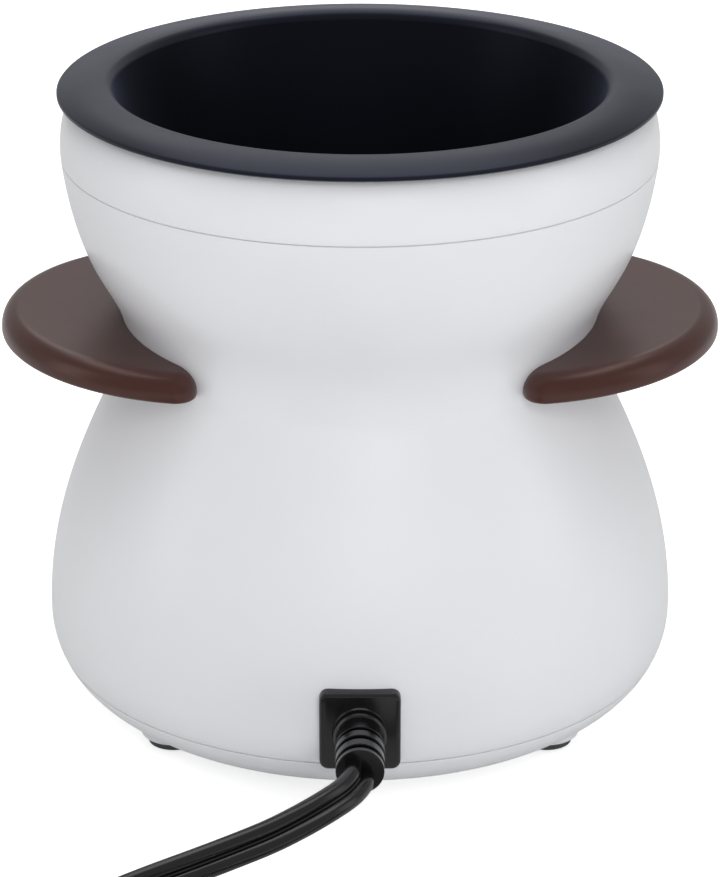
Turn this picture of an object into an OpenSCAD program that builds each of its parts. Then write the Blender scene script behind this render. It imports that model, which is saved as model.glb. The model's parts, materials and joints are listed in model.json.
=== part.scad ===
// Electric fondue pot: a waisted white housing on rubber feet, two brown ear
// handles, a coated pot that lifts out of a heated well, a rotary heat control
// with a pilot lamp at the front, and a flat mains lead at the rear.
// +Z is up and the feet stand on z = 0. The lead leaves towards +Y and the
// control knob faces -Y. The handles lie on the X axis.

/* [Housing outline] */
// Radius of the lower body at its widest
belly_r = 73.7; // [71:0.1:77]
// Height of the widest point of the lower body
belly_z = 24; // [22:0.5:26]
// Fullness of the lower body above its widest point
belly_pull = 33; // [28:0.5:37]
// Fullness of the lower body below its widest point
under_pull = 12; // [10:0.5:13]
// Radius of the flat underside
dish_flat_r = 50; // [46:0.5:53]
// Height of the flat underside above the table
dish_z = 4.6; // [4.2:0.1:5.6]
// Roundness of the underside's edge
under_reach = 14; // [11:0.5:16]
// Radius of the waist
waist_r = 54; // [52.5:0.1:56]
// Height of the waist
waist_z = 89.4; // [88:0.1:91]
// Length of the waist's curve towards the lower body
waist_pull_down = 7.5; // [6:0.5:10]
// Length of the waist's curve towards the upper body
waist_pull_up = 18; // [15:0.5:21]
// Distance from the ring's crown out to the seam
shoulder_w = 8.1; // [7.3:0.1:9]
// Height of the seam under the top ring
seam_z = 135; // [133.5:0.5:138]
// Fullness of the upper body below the seam
seam_pull = 31; // [27:0.5:34]
// Wall of the moulded housing
wall_t = 2.4; // [2:0.1:2.8]
// Open line left between two housing mouldings
parting_gap = 0.25; // [0.2:0.01:0.3]

/* [Top ring] */
// Height of the ring above the seam
ring_h = 15.2; // [14.4:0.1:16.5]
// Distance from the pot's wall out to the ring's crown
crown_w = 3.1; // [2.9:0.1:3.6]
// Thickness of the ring's deck
deck_t = 2.6; // [2.4:0.1:3]
// Depth of the spigot that locates the ring in the housing
spigot_h = 6; // [4:0.5:8]
// Wall of the locating spigots
spigot_t = 1.6; // [1.4:0.1:1.9]
// Distance from the pot's wall out to the ring's screws
ring_screw_w = 3.9; // [3.7:0.1:4.2]

/* [Pot] */
// Reach of the pot's rim past its wall
rim_reach = 11.6; // [11:0.1:12.6]
// Outside radius of the pot's wall at its mouth
mouth_r = 56.4; // [55.9:0.1:56.6]
// Thickness of the pot's metal
pot_t = 1.2; // [1:0.1:1.4]
// Radius of the rolled lip
lip_r = 2.6; // [2.3:0.1:2.8]
// Depth from the lip's centre to the pot's underside
pot_depth = 52.4; // [48:0.2:53]
// Distance from the pot's wall at its floor to the waist
floor_inset = 10; // [9:0.1:11]
// Radius of the pot's bottom corner
pot_corner_r = 12; // [10:0.5:14]
// Gap between the pot and what carries it
seat_gap = 0.3; // [0.25:0.05:0.4]
// Height that the pot is lifted to clear the well
lift_h = 75; // [60:1:90]

/* [Heated well] */
// Gap between the pot's wall and the well
well_gap = 0.8; // [0.6:0.05:0.9]
// Thickness of the well's metal
well_t = 1; // [0.8:0.1:1.2]
// Thickness of the seal under the ring's deck
seal_t = 1.2; // [1:0.1:1.4]
// Radius of the heating plate
plate_r = 36; // [34:0.5:37]
// Thickness of the heating plate
plate_t = 5; // [4.5:0.1:6]
// Radius of the heating element's loop
element_loop_r = 26; // [25:0.5:27]
// Radius of the element's tube
element_tube_r = 3.2; // [2.9:0.1:3.4]
// Depth of the heat shield
shield_h = 13; // [12:0.5:15]

/* [Handles] */
// Reach of the handles from the middle of the pot
ear_reach = 82.6; // [80:0.1:86]
// Radius of a handle's outline
ear_r = 46; // [44:0.5:47.5]
// Distance of a handle's straight edge from the middle of the pot
ear_chord_x = 35.8; // [34:0.2:37]
// Thickness of a handle
ear_t = 6.2; // [5.6:0.1:7]
// Radius of a handle's upper edge
ear_round_r = 4.6; // [3.5:0.1:5]
// Height of a handle's middle above the waist
ear_rise = 5.2; // [4.5:0.1:6]
// Upward slope of the handles in degrees
ear_tilt = 2.5; // [0:0.5:4]
// Distance between a handle's two fixings
ear_pitch = 34; // [30:0.5:38]
// Radius of a handle's fixing stud
ear_stud_r = 3.4; // [3:0.1:3.8]

/* [Feet and base] */
// Distance of the feet from the middle
foot_pcr = 53; // [51:0.5:56]
// Angle of the feet from the handles' axis in degrees
foot_turn = 35; // [33:1:40]
// Radius of a rubber foot
foot_r = 6; // [5.2:0.1:6.6]
// Height that a rubber foot stands out of its boss
foot_show = 2.3; // [1.8:0.1:3]
// Depth of the foot in its boss
foot_sink = 2; // [1.6:0.1:2.6]
// Wall of the boss round a foot
foot_boss_t = 1.5; // [1.2:0.1:1.8]
// Height of the housing's screw columns
column_h = 22; // [18:1:26]
// Radius of the housing's screw columns
column_r = 4.5; // [4:0.1:5]
// Number of cooling slots in the base
vent_count = 16; // [10:1:20]
// Length of a cooling slot
vent_l = 20; // [14:1:22]
// Width of a cooling slot
vent_w = 2.4; // [2:0.1:3]

/* [Heat control] */
// Height of the knob's axis
knob_z = 40; // [38:0.5:42]
// Radius of the flat pod behind the knob
pod_r = 18; // [17:0.1:19.5]
// Distance that the pod stands out of the widest part of the body
pod_proud = 0.9; // [0.6:0.1:1.5]
// Radius of the knob's skirt
knob_r = 15; // [13.5:0.1:16]
// Height of the knob
knob_h = 17.4; // [16:0.1:18]
// Radius of the knob's grip
knob_grip_r = 11.4; // [10.6:0.1:12]
// Number of finger flutes round the knob
flute_count = 12; // [8:1:16]
// Clearance between the knob and the pod
knob_gap = 0.7; // [0.5:0.1:1]
// Radius of the switch's shaft
shaft_r = 3; // [2.6:0.1:3.2]
// Turn of the knob from off to full heat in degrees
knob_turn = 180; // [90:10:270]
// Height of the pilot lamp
lamp_z = 65; // [64:0.5:67]
// Radius of the pilot lamp's lens
lamp_r = 3; // [2.6:0.1:3.3]

/* [Mains lead] */
// Height of the strain relief
relief_z = 26; // [25.6:0.1:27.5]
// Width of the strain relief's flange
relief_w = 17.8; // [16.5:0.1:19]
// Height of the strain relief's flange
relief_h = 18.7; // [18:0.1:19.2]
// Distance that the strain relief's flange stands out of the body
relief_proud = 1.6; // [1.2:0.1:2]
// Length of the ribbed sleeve
sleeve_l = 17.7; // [16:0.1:19]
// Radius of the ribbed sleeve where it starts
sleeve_root_r = 5.8; // [5.4:0.1:6.2]
// Radius of the ribbed sleeve at its end
sleeve_tip_r = 5.2; // [4.8:0.1:5.3]
// Width of the flat lead
cord_w = 7.2; // [6.4:0.1:7.6]
// Thickness of the flat lead
cord_t = 3.6; // [3.2:0.1:3.8]
// Length of the plug's moulding
plug_l = 29; // [26:0.5:34]
// Width of the plug's moulding
plug_w = 22; // [20:0.5:25]
// Thickness of the plug's moulding
plug_t = 12; // [11:0.5:14]
// Distance between the plug's blades
blade_pitch = 12.7; // [12.7]
// Length of the plug's blades
blade_l = 16.5; // [15.9:0.1:18.3]

/* [Hidden] */
$fn = 72;

// Overrun of a cutting shape past the surface that it cuts
cut = 1;
// Clearance of a piece that is pushed into its place and stays there
fit_gap = 0.1;
// Running clearance of the shaft
run_gap = 0.06;
// Sideways run of the upper body per unit of height, where it meets the seam
bell_lean_share = 0.12;
// Share of the underside's curve that belongs to the housing, above the parting line
crease_share = 0.235;

// Radii that follow the pot's mouth
crown_r = mouth_r + crown_w;
seam_r = crown_r + shoulder_w;
rim_r = mouth_r + rim_reach;
ring_screw_pcr = mouth_r + ring_screw_w;

// Curves of the housing, from the flat underside to the crown of the top ring
function bezier(a, b, c, d, t) =
    pow(1 - t, 3) * a + 3 * t * pow(1 - t, 2) * b + 3 * t * t * (1 - t) * c + pow(t, 3) * d;
function curve(p, n, t0 = 0, t1 = 1) =
    [for (i = [0:n]) bezier(p[0], p[1], p[2], p[3], t0 + (t1 - t0) * i / n)];
function flip(v) = [for (i = [len(v) - 1:-1:0]) v[i]];
function drop_first(v) = [for (i = [1:len(v) - 1]) v[i]];
function unit(v) = v / norm(v);
// Moves an outline that climbs on the right of the axis inwards by d
function inset(v, d) = [for (i = [0:len(v) - 1])
    let (t = unit(v[min(i + 1, len(v) - 1)] - v[max(i - 1, 0)])) v[i] + d * [-t[1], t[0]]];
function radius_at(v, z) = lookup(z, [for (p = v) [p[1], p[0]]]);

under_curve = [[belly_r, belly_z], [belly_r, belly_z - under_pull],
    [dish_flat_r + under_reach, dish_z], [dish_flat_r, dish_z]];
belly_curve = [[belly_r, belly_z], [belly_r, belly_z + belly_pull],
    [waist_r, waist_z - waist_pull_down], [waist_r, waist_z]];
bell_curve = [[waist_r, waist_z], [waist_r, waist_z + waist_pull_up],
    [seam_r - bell_lean_share * seam_pull, seam_z - seam_pull], [seam_r, seam_z]];

// Number of straight facets along each curve
under_steps = 8;
crease_steps = 3;
belly_steps = 14;
bell_steps = 11;
ring_steps = 9;

shell_out = concat(flip(curve(under_curve, crease_steps, 0, crease_share)),
    drop_first(curve(belly_curve, belly_steps)), drop_first(curve(bell_curve, bell_steps)));
shell_in = [for (p = inset(shell_out, wall_t)) [p[0], min(p[1], seam_z)]];
base_out = flip(curve(under_curve, under_steps, crease_share, 1));
base_in = inset(base_out, wall_t);
crease_z = shell_out[0][1];
crease_r = shell_out[0][0];

// Top ring, and the pot's rim above it
ring_z = seam_z + parting_gap;
ring_top = seam_z + ring_h;
deck_z = ring_top - deck_t;
ring_in_r = mouth_r + well_gap - fit_gap;
// Fall of the pot's rim towards its edge, in degrees
rim_droop = 8.5;
ring_pull = [0.4, 9.2];
ring_crown_pull = [6, 0.9];
ring_curve = [[seam_r, ring_z], [seam_r + ring_pull[0], ring_z + ring_pull[1]],
    [crown_r + ring_crown_pull[0], ring_top - ring_crown_pull[1]], [crown_r, ring_top]];
ring_out = curve(ring_curve, ring_steps);
ring_in = inset(ring_out, wall_t);
ring_spigot_r = radius_at(shell_in, seam_z - spigot_h) - parting_gap;
ring_wall_z = ring_z + spigot_t;
// Radius and height of the bosses that take the ring's screws
ring_boss_r = 2.8;
screw_r = 1.4;
screw_head_r = 2.9;
screw_head_h = 2;
ring_screw_bite = 1.6;
ring_screw_angles = [45, 135, 225, 315];

// Pot, and the well that follows its shape
under_lip_r = lip_r - pot_t;
lip_c = [mouth_r + under_lip_r, ring_top + seat_gap - under_lip_r / cos(rim_droop)
    + (crown_r - mouth_r - under_lip_r) * tan(rim_droop)];
pot_floor_z = lip_c[1] - pot_depth;
// Lean of the pot's wall, in degrees
pot_lean = atan2(mouth_r - waist_r + floor_inset, pot_depth);
cup_steps = 6;
lip_steps = 6;
// Section of a cup from the middle of its floor to its mouth
function cup(r_top, z_top, r_corner, z_floor) =
    let (z_arc = z_floor + r_corner * (1 - sin(pot_lean)),
        r_mid = r_top - (z_top - z_arc) * tan(pot_lean) - r_corner * cos(pot_lean))
    concat([[0, z_floor]], [for (i = [0:cup_steps]) let (a = -90 + (90 - pot_lean) * i / cup_steps)
        [r_mid + r_corner * cos(a), z_floor + r_corner + r_corner * sin(a)]], [[r_top, z_top]]);
// Section of the rolled lip and the drooping rim, from the inside of the mouth
function lip_arc(r, a0, a1) = [for (i = [0:lip_steps]) let (a = a0 + (a1 - a0) * i / lip_steps)
    lip_c + r * [cos(a), sin(a)]];
rim_run = rim_r - lip_c[0];
function rim_end(r) = [rim_r, lip_c[1] + r / cos(rim_droop) - rim_run * tan(rim_droop)];

well_top = deck_z - seal_t;
// Metal left outside the screw holes of the well's flange
flange_land = 0.7;
well_flange_r = ring_screw_pcr + screw_r + flange_land;
pocket_r = well_flange_r + parting_gap / 2;
well_floor_z = pot_floor_z - seat_gap;
function mouth_at(z, gap) = mouth_r - (lip_c[1] - z) * tan(pot_lean) + gap / cos(pot_lean);

// Stack of parts under the well
plate_top = well_floor_z - well_t;
plate_z = plate_top - plate_t;
element_z = plate_z;
clamp_t = 1.2;
clamp_top = element_z - element_tube_r;
clamp_in_r = element_loop_r - 5;
clamp_out_r = element_loop_r + 7;
stud_r = 2;
stud_pcr = element_loop_r + 5.8;
shield_t = 0.8;
shield_floor_z = clamp_top - clamp_t - shield_h;
stud_angles = [30, 150, 270];
stud_bite = 3;
nut_r = 4;
nut_h = 2.4;
// The heat shield lies midway between the nuts and the waist's wall
shield_r = (stud_pcr + nut_r + waist_r - wall_t) / 2;
shield_lip = 0.35 * (waist_r - wall_t - shield_r);
// The element's loop is open towards the rear, where its ends turn down
element_open = 60;
element_leg_h = 9;
elbow_r = element_tube_r + 0.5;
pin_r = 1.4;
pin_h = 7;
leg_hole_r = elbow_r + 0.8;
stat_r = 8;
stat_h = 9;
stat_cap_r = 8.6;
stat_cap_h = 3.4;
fuse_r = 2.1;
fuse_l = 15;
fuse_x = -15.5;
clip_t = 0.8;
clip_w = 6;

// Handles
ear_c = ear_reach - ear_r;
ear_z = waist_z + ear_rise;
ear_corner_r = 5;
ear_under_r = 0.8;
ear_steps = 4;
stud_in_r = 8.5;
ear_boss_t = 2.2;
ear_boss_in = waist_r - stud_in_r;
ear_screw_l = 8;

// Base
boss_r = foot_r + fit_gap + foot_boss_t;
foot_angles = [foot_turn, 180 - foot_turn, 180 + foot_turn, -foot_turn];
base_boss_top = crease_z + 1;
base_spigot_h = 3;
base_spigot_r = shell_in[0][0] - parting_gap;
head_r = 3;
head_h = 2.2;
head_room = 0.4;
foot_top = foot_show + foot_sink;
column_top = base_boss_top + parting_gap + column_h;
base_screw_l = 20;
rib_t = 2;
// Depth of a rib's root in the wall, as a share of the wall left outside it
rib_root_share = 0.8;
vent_r0 = 16;

// Heat control
pod_y = belly_r + pod_proud;
pod_wall = 2.2;
pod_in_r = pod_r - pod_wall;
pod_back = 11.5;
knob_back = pod_y + knob_gap;
knob_front = knob_back + knob_h;
skirt_h = 3.6;
flute_r = 2.4;
flute_depth = 0.9;
knob_edge_r = 1.6;
knob_bore_l = 12;
bush_r = 4.6;
bush_proud = 3.2;
switch_room = 0.8;
switch_w = sqrt(2) * (pod_in_r - switch_room);
switch_d = 15;
switch_gap = 0.3;
nut_af_r = 7.2;
switch_nut_h = 2.2;
knob_recess_r = 8.4;
knob_recess_h = 3.4;
shaft_in = 9;
tab_w = 4;
tab_t = 0.8;
tab_l = 7;
tab_pitch = 12;
// Slope of the body at the pilot lamp, measured over a short step of height
lamp_step = 2;
lamp_lean = atan2(radius_at(shell_out, lamp_z - lamp_step) - radius_at(shell_out, lamp_z + lamp_step),
    2 * lamp_step);
lamp_y = radius_at(shell_out, lamp_z);
lens_rim_r = lamp_r + 1.2;
lens_rim_h = 0.9;
lens_dome_h = 1.6;
lens_stem_l = 7;
neon_r = 1.9;
neon_l = 12;
neon_in = 3.5;
retainer_t = 1.8;
retainer_gap = 0.5;

// Mains lead
relief_y = belly_r + relief_proud;
relief_corner_r = 2;
relief_edge_r = 0.9;
neck_w = 11.6;
neck_h = 12;
neck_y = belly_r - 7.6;
collar_w = 15;
collar_t = 2.4;
collar_y = belly_r - wall_t - 3.6;
sill_gap = 0.15;
sleeve_y = relief_y + sleeve_l;
groove_d = 1;

// Crimp caps on the floor of the base
cap_r = 4;
cap_l = 16;
cap_x = 13;
cap_y = 26;
cap_z = dish_z + wall_t + cap_r + fit_gap;
wire_r = 1.1;
wire_sides = 6;
wire_steps = 3;

// The lead's routes are chosen by hand, in millimetres, and don't scale with the body.
// From the sleeve, out and to the side, down to the table and into the coil.
lead_route = [[0, 93, 26], [0.4, 96.5, 26], [2.6, 101, 25.6], [6.5, 105.2, 24.9], [12, 109.4, 23.6],
    [18.5, 113, 21.9], [26, 116, 19.8], [34, 118.6, 17.3], [43, 121.2, 14.4], [53, 124.2, 11.3],
    [63, 127.6, 8.6], [73, 131.8, 6.6], [82.5, 137.4, 5.3], [91, 144.6, 4.8], [98, 153.6, 4.7],
    [102.6, 163.6, 4.7], [104.5, 171, 4.7], [104.8, 178, 4.7]];
// From the coil down to the table and into the plug.
tail_route = [[19.2, 178, 12.5], [19.2, 171, 12.2], [18.6, 163, 10.8], [16.4, 154, 8.6], [11.6, 145, 6.4],
    [4, 137.4, 4.6], [-5.4, 132.2, 3.4], [-15, 129.2, 3.4], [-23, 128.2, 4.8], [-30, 128, 6.1],
    [-37, 128, 6.2]];
// Roll of the flat lead at each end of a route, in degrees from flat
lead_roll = [38, 90];
tail_roll = [90, 0];
coil_c = [62, 178];
coil_z = 4.7;
coil_r = 42.8;
coil_turns = 2.5;
coil_pitch = 5.5;
coil_layer = 7.8;
coil_climb = 0.13;
coil_rings = 24;
tie_t = 0.8;
tie_w = 6;
tie_angle = 45;
tie_room = 0.5;
tie_in_r = 34.5;
tie_out_r = 45;
plug_c = [-37, 128, 6.2];
plug_taper_share = 0.62;
blade_t = 1.5;
blade_w = 6.3;
blade_wide_w = 7.9;
blade_hole_r = 1.6;
blade_hole_in = 3.5;
blade_sunk = 6;
grip_ribs = 4;
grip_rib_t = 1.2;
grip_rib_d = 0.5;

// Sections of the flat lead, as shares of its width and thickness
cord_shares = [[0.5, 0.2], [0.32, 0.5], [-0.32, 0.5], [-0.5, 0.2],
    [-0.5, -0.2], [-0.32, -0.5], [0.32, -0.5], [0.5, -0.2]];
coil_shares = [[0.5, 0], [0.32, 0.5], [-0.32, 0.5], [-0.5, 0], [-0.32, -0.5], [0.32, -0.5]];
function scaled(shares, w, t) = [for (s = shares) [s[0] * w, s[1] * t]];

// A tube swept along a path, given its rings of points
module skin(rings) {
    n = len(rings);
    m = len(rings[0]);
    polyhedron(points = [for (r = rings) each r],
        faces = concat([flip([for (k = [0:m - 1]) k])],
            [for (i = [0:n - 2]) for (k = [0:m - 1]) let (q = (k + 1) % m)
                [i * m + k, i * m + q, (i + 1) * m + q]],
            [for (i = [0:n - 2]) for (k = [0:m - 1]) let (q = (k + 1) % m)
                [i * m + k, (i + 1) * m + q, (i + 1) * m + k]],
            [[for (k = [0:m - 1]) (n - 1) * m + k]]));
}

function heading(p, i) = unit(p[min(i + 1, len(p) - 1)] - p[max(i - 1, 0)]);
// Rings of a flat lead: its width turns from one roll to the other along the path
function flat_rings(p, section, roll) = [for (i = [0:len(p) - 1])
    let (t = heading(p, i), side = unit(cross(t, [0, 0, 1])), up = cross(side, t),
        a = roll[0] + (roll[1] - roll[0]) * i / (len(p) - 1),
        w = side * cos(a) + up * sin(a), v = cross(t, w))
    [for (s = section) p[i] + s[0] * w + s[1] * v]];

// A curve through the given points
function spline_at(a, b, c, d, t) = 0.5 * (2 * b + (c - a) * t + (2 * a - 5 * b + 4 * c - d) * t * t
    + (3 * b - a - 3 * c + d) * t * t * t);
function smooth(p, n) = let (e = len(p) - 1) concat([for (i = [0:e - 1]) for (k = [0:n - 1])
    spline_at(p[max(i - 1, 0)], p[i], p[i + 1], p[min(i + 2, e)], k / n)], [p[e]]);
function carried(v, t) = unit(v - t * (v * t));
function carried_sides(p, first) = [for (i = 0, s = carried(first, heading(p, 0)); i < len(p);
    i = i + 1, s = carried(s, heading(p, min(i, len(p) - 1)))) s];
function round_rings(p, r, sides, first) = let (s = carried_sides(p, first)) [for (i = [0:len(p) - 1])
    let (v = cross(heading(p, i), s[i])) [for (k = [0:sides - 1]) let (a = 360 * k / sides)
        p[i] + r * (cos(a) * s[i] + sin(a) * v)]];

// A round wire along a curve through the given points
module wire(route) {
    skin(round_rings(smooth(route, wire_steps), wire_r, wire_sides, [1, 0, 0.2]));
}

// A solid of revolution under an outline that climbs beside the axis
module turned(outline) {
    rotate_extrude($fn = 120) polygon(outline);
}

// The housing's outside as one full body, grown by gap
module body_form(gap) {
    turned(concat([[0, crease_z]], inset(shell_out, -gap), [[0, seam_z]]));
}

// Places its children on a circle
module around(r, angles) {
    for (a = angles) rotate([0, 0, a]) translate([r, 0, 0]) children();
}

// A screw that points up, its head below z = 0
module screw(length) {
    cylinder(r = screw_r, h = length);
    translate([0, 0, -screw_head_h]) difference() {
        cylinder(r = screw_head_r, h = screw_head_h);
        for (a = [0, 90]) rotate([0, 0, a])
            translate([-screw_r, -screw_r / 4, -cut]) cube([2 * screw_r, screw_r / 2, cut + screw_head_h / 2]);
    }
}

// Lays the Z axis of its children along -Y, from the height of the knob's axis
module forward(y, z) {
    translate([0, -y, z]) rotate([90, 0, 0]) children();
}

// Lays the Z axis of its children along +Y, from the height of the strain relief
module rearward(y) {
    translate([0, y, relief_z]) rotate([-90, 0, 0]) children();
}

// Lays the Z axis of its children along the pilot lamp's axis, outwards
module at_lamp() {
    translate([0, -lamp_y, lamp_z]) rotate([90 - lamp_lean, 0, 0]) children();
}

// Housing: the waisted shell, open at both ends
module outer_shell() {
    color([0.9, 0.91, 0.92]) difference() {
        union() {
            turned(concat(shell_out, flip(shell_in)));
            forward(pod_y - pod_back, knob_z) cylinder(r = pod_r, h = pod_back);
            for (side = [0, 180]) rotate([0, 0, side]) ear_bosses();
            around(foot_pcr, foot_angles) translate([0, 0, column_top - column_h])
                cylinder(r = column_r, h = column_h);
            around(0, foot_angles) column_rib();
        }
        forward(pod_y - pod_back - cut, knob_z) cylinder(r = pod_in_r, h = pod_back + cut - pod_wall);
        forward(pod_y - 2 * pod_back, knob_z) cylinder(r = pod_in_r, h = pod_back);
        forward(pod_y - pod_back, knob_z) cylinder(r = bush_r + fit_gap, h = pod_back + cut);
        at_lamp() translate([0, 0, -2 * wall_t]) cylinder(r = lamp_r + fit_gap, h = 4 * wall_t);
        for (side = [0, 180]) rotate([0, 0, side]) for (y = [-1, 1])
            translate([ear_boss_in - cut, y * ear_pitch / 2, ear_z]) rotate([0, 90, 0])
                cylinder(r = ear_stud_r + fit_gap, h = stud_in_r + 2 * cut + wall_t);
        around(foot_pcr, foot_angles) translate([0, 0, column_top - column_h - cut])
            cylinder(r = screw_r + fit_gap, h = column_h - wall_t + cut);
        translate([-neck_w / 2 - sill_gap, neck_y - cut, crease_z - cut])
            cube([neck_w + 2 * sill_gap, belly_r - neck_y + 2 * cut, relief_z + neck_h / 2 + sill_gap - crease_z + cut]);
    }
}

// The two bosses inside the waist that take one handle's studs
module ear_bosses() {
    intersection() {
        for (y = [-1, 1]) translate([ear_boss_in, y * ear_pitch / 2, ear_z]) rotate([0, 90, 0])
            cylinder(r = ear_stud_r + ear_boss_t, h = stud_in_r);
        translate([0, 0, ear_z - 2 * ear_stud_r - ear_boss_t])
            cylinder(r = waist_r - wall_t / 2, h = 4 * ear_stud_r + 2 * ear_boss_t);
    }
}

// The rib that ties a screw column to the wall
module column_rib() {
    rib_bottom = base_boss_top + base_spigot_h + parting_gap;
    translate([foot_pcr + screw_r + rib_t, -rib_t / 2, rib_bottom])
        cube([belly_r - wall_t * rib_root_share - foot_pcr - screw_r - rib_t, rib_t, column_top - rib_bottom - 2 * rib_t]);
}

// Ring that closes the housing under the pot's rim and holds the well
module top_ring() {
    color([0.9, 0.91, 0.92]) difference() {
        union() {
            turned(concat(ring_out, [[ring_in_r, ring_top], [ring_in_r, deck_z], [pocket_r, deck_z]],
                [for (p = flip(ring_in)) if (p[0] > pocket_r && p[1] > ring_wall_z + cut) p],
                [[radius_at(ring_in, ring_wall_z), ring_wall_z], [ring_spigot_r - spigot_t, ring_wall_z],
                    [ring_spigot_r - spigot_t, seam_z - spigot_h], [ring_spigot_r, seam_z - spigot_h],
                    [ring_spigot_r, ring_z]]));
            around(ring_screw_pcr, ring_screw_angles) translate([0, 0, well_top])
                cylinder(r = ring_boss_r, h = seal_t + deck_t / 2);
        }
        around(ring_screw_pcr, ring_screw_angles) translate([0, 0, well_top - cut])
            cylinder(r = screw_r + fit_gap / 2, h = cut + seal_t + ring_screw_bite);
    }
}

// Dished cover that closes the housing from below
module base_cover() {
    inner = [for (p = flip(base_in)) if (p[0] < base_spigot_r - spigot_t - cut) p];
    color([0.88, 0.89, 0.9]) difference() {
        union() {
            turned(concat([[0, dish_z]], [for (p = base_out) if (p[1] < crease_z - parting_gap - cut) p],
                [[radius_at(base_out, crease_z - parting_gap), crease_z - parting_gap],
                    [base_spigot_r, crease_z - parting_gap], [base_spigot_r, crease_z + base_spigot_h],
                    [base_spigot_r - spigot_t, crease_z + base_spigot_h],
                    [base_spigot_r - spigot_t, inner[0][1] + spigot_t]], inner, [[0, dish_z + wall_t]]));
            around(foot_pcr, foot_angles) translate([0, 0, foot_show])
                cylinder(r = boss_r, h = base_boss_top - foot_show);
            relief_sill();
        }
        around(foot_pcr, foot_angles) translate([0, 0, foot_show - cut]) {
            cylinder(r = foot_r + fit_gap, h = foot_sink + cut);
            cylinder(r = head_r + fit_gap, h = foot_sink + cut + head_room + head_h);
            cylinder(r = screw_r + 2 * fit_gap, h = base_boss_top + cut);
        }
        for (i = [0:vent_count - 1]) rotate([0, 0, 360 * (i + 0.5) / vent_count])
            translate([vent_r0, -vent_w / 2, dish_z - cut]) cube([vent_l, vent_w, wall_t + 2 * cut]);
        relief_space();
    }
}

// Block on the base's edge that closes the housing's notch under the strain relief
module relief_sill() {
    sill_top = relief_z - neck_h / 2 - sill_gap;
    translate([-neck_w / 2, base_spigot_r - spigot_t, crease_z - wall_t / 2])
        cube([neck_w, crease_r - wall_t / 2 - base_spigot_r + spigot_t, sill_top - crease_z + wall_t / 2]);
}

// Room in the base's locating spigot for the strain relief's inner collar
module relief_space() {
    translate([-collar_w / 2 - fit_gap, collar_y - 2 * fit_gap, relief_z - relief_h / 2 + wall_t / 2])
        cube([collar_w + 2 * fit_gap, collar_t + 4 * fit_gap, relief_h]);
}

// Section of a handle's edge: a small round below and a large one above
function edge_section(r) = concat([[0, 0]],
    [for (i = [0:ear_steps]) let (a = -90 + 90 * i / ear_steps)
        [r - ear_under_r + ear_under_r * cos(a), ear_under_r + ear_under_r * sin(a)]],
    [for (i = [0:2 * ear_steps]) let (a = 45 * i / ear_steps)
        [r - ear_round_r + ear_round_r * cos(a), ear_t - ear_round_r + ear_round_r * sin(a)]],
    [[0, ear_t]]);

// An ear handle on the +X side, fitted to the waist, with two studs through the wall
module ear() {
    corner_x = ear_chord_x + ear_corner_r;
    corner_y = sqrt(pow(ear_r - ear_corner_r, 2) - pow(corner_x - ear_c, 2));
    difference() {
        union() {
            difference() {
                translate([waist_r, 0, ear_z]) rotate([0, -ear_tilt, 0]) translate([-waist_r, 0, -ear_t / 2]) hull() {
                    intersection() {
                        translate([ear_c, 0, 0]) rotate_extrude($fn = 96) polygon(edge_section(ear_r));
                        translate([corner_x, -ear_r, 0]) cube([ear_r, 2 * ear_r, ear_t]);
                    }
                    for (y = [-1, 1]) translate([corner_x, y * corner_y, 0])
                        rotate_extrude($fn = 32) polygon(edge_section(ear_corner_r));
                }
                body_form(fit_gap);
            }
            for (y = [-1, 1]) translate([ear_boss_in + fit_gap, y * ear_pitch / 2, ear_z]) rotate([0, 90, 0])
                cylinder(r = ear_stud_r, h = stud_in_r + wall_t + ear_t);
        }
        for (y = [-1, 1]) translate([ear_boss_in - cut, y * ear_pitch / 2, ear_z]) rotate([0, 90, 0])
            cylinder(r = screw_r + fit_gap / 2, h = ear_screw_l + cut + 2 * fit_gap);
    }
}

module left_handle() {
    color([0.3, 0.2, 0.17]) rotate([0, 0, 180]) ear();
}

module right_handle() {
    color([0.3, 0.2, 0.17]) ear();
}

// Screws that hold the handles from inside the waist
module handle_screws() {
    color("silver") for (side = [0, 180]) rotate([0, 0, side]) for (y = [-1, 1])
        translate([ear_boss_in, y * ear_pitch / 2, ear_z]) rotate([0, 90, 0]) screw(ear_screw_l);
}

// A rubber foot, pressed into its boss
module foot(angle) {
    color([0.13, 0.13, 0.13]) around(foot_pcr, [angle]) {
        cylinder(r = foot_r - ear_under_r, h = ear_under_r);
        translate([0, 0, ear_under_r / 2]) cylinder(r = foot_r, h = foot_top - ear_under_r / 2);
    }
}

module foot_front_left() {
    foot(180 + foot_turn);
}

module foot_front_right() {
    foot(-foot_turn);
}

module foot_rear_left() {
    foot(180 - foot_turn);
}

module foot_rear_right() {
    foot(foot_turn);
}

// Screws that hold the base cover, each over a foot
module base_screws() {
    color("silver") around(foot_pcr, foot_angles)
        translate([0, 0, foot_top + head_room + head_h]) screw(base_screw_l);
}

// Spun aluminium well that carries the pot
module heating_well() {
    inner = cup(mouth_at(well_top, well_gap), well_top, pot_corner_r + well_gap, well_floor_z);
    outer = cup(mouth_at(well_top, well_gap + well_t), well_top - well_t, pot_corner_r + well_gap + well_t, plate_top);
    color([0.75, 0.76, 0.78]) difference() {
        turned(concat(outer, [[well_flange_r, well_top - well_t], [well_flange_r, well_top]], flip(inner)));
        around(ring_screw_pcr, ring_screw_angles) translate([0, 0, well_top - well_t - cut])
            cylinder(r = screw_r + 2 * fit_gap, h = well_t + 2 * cut);
    }
}

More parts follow.
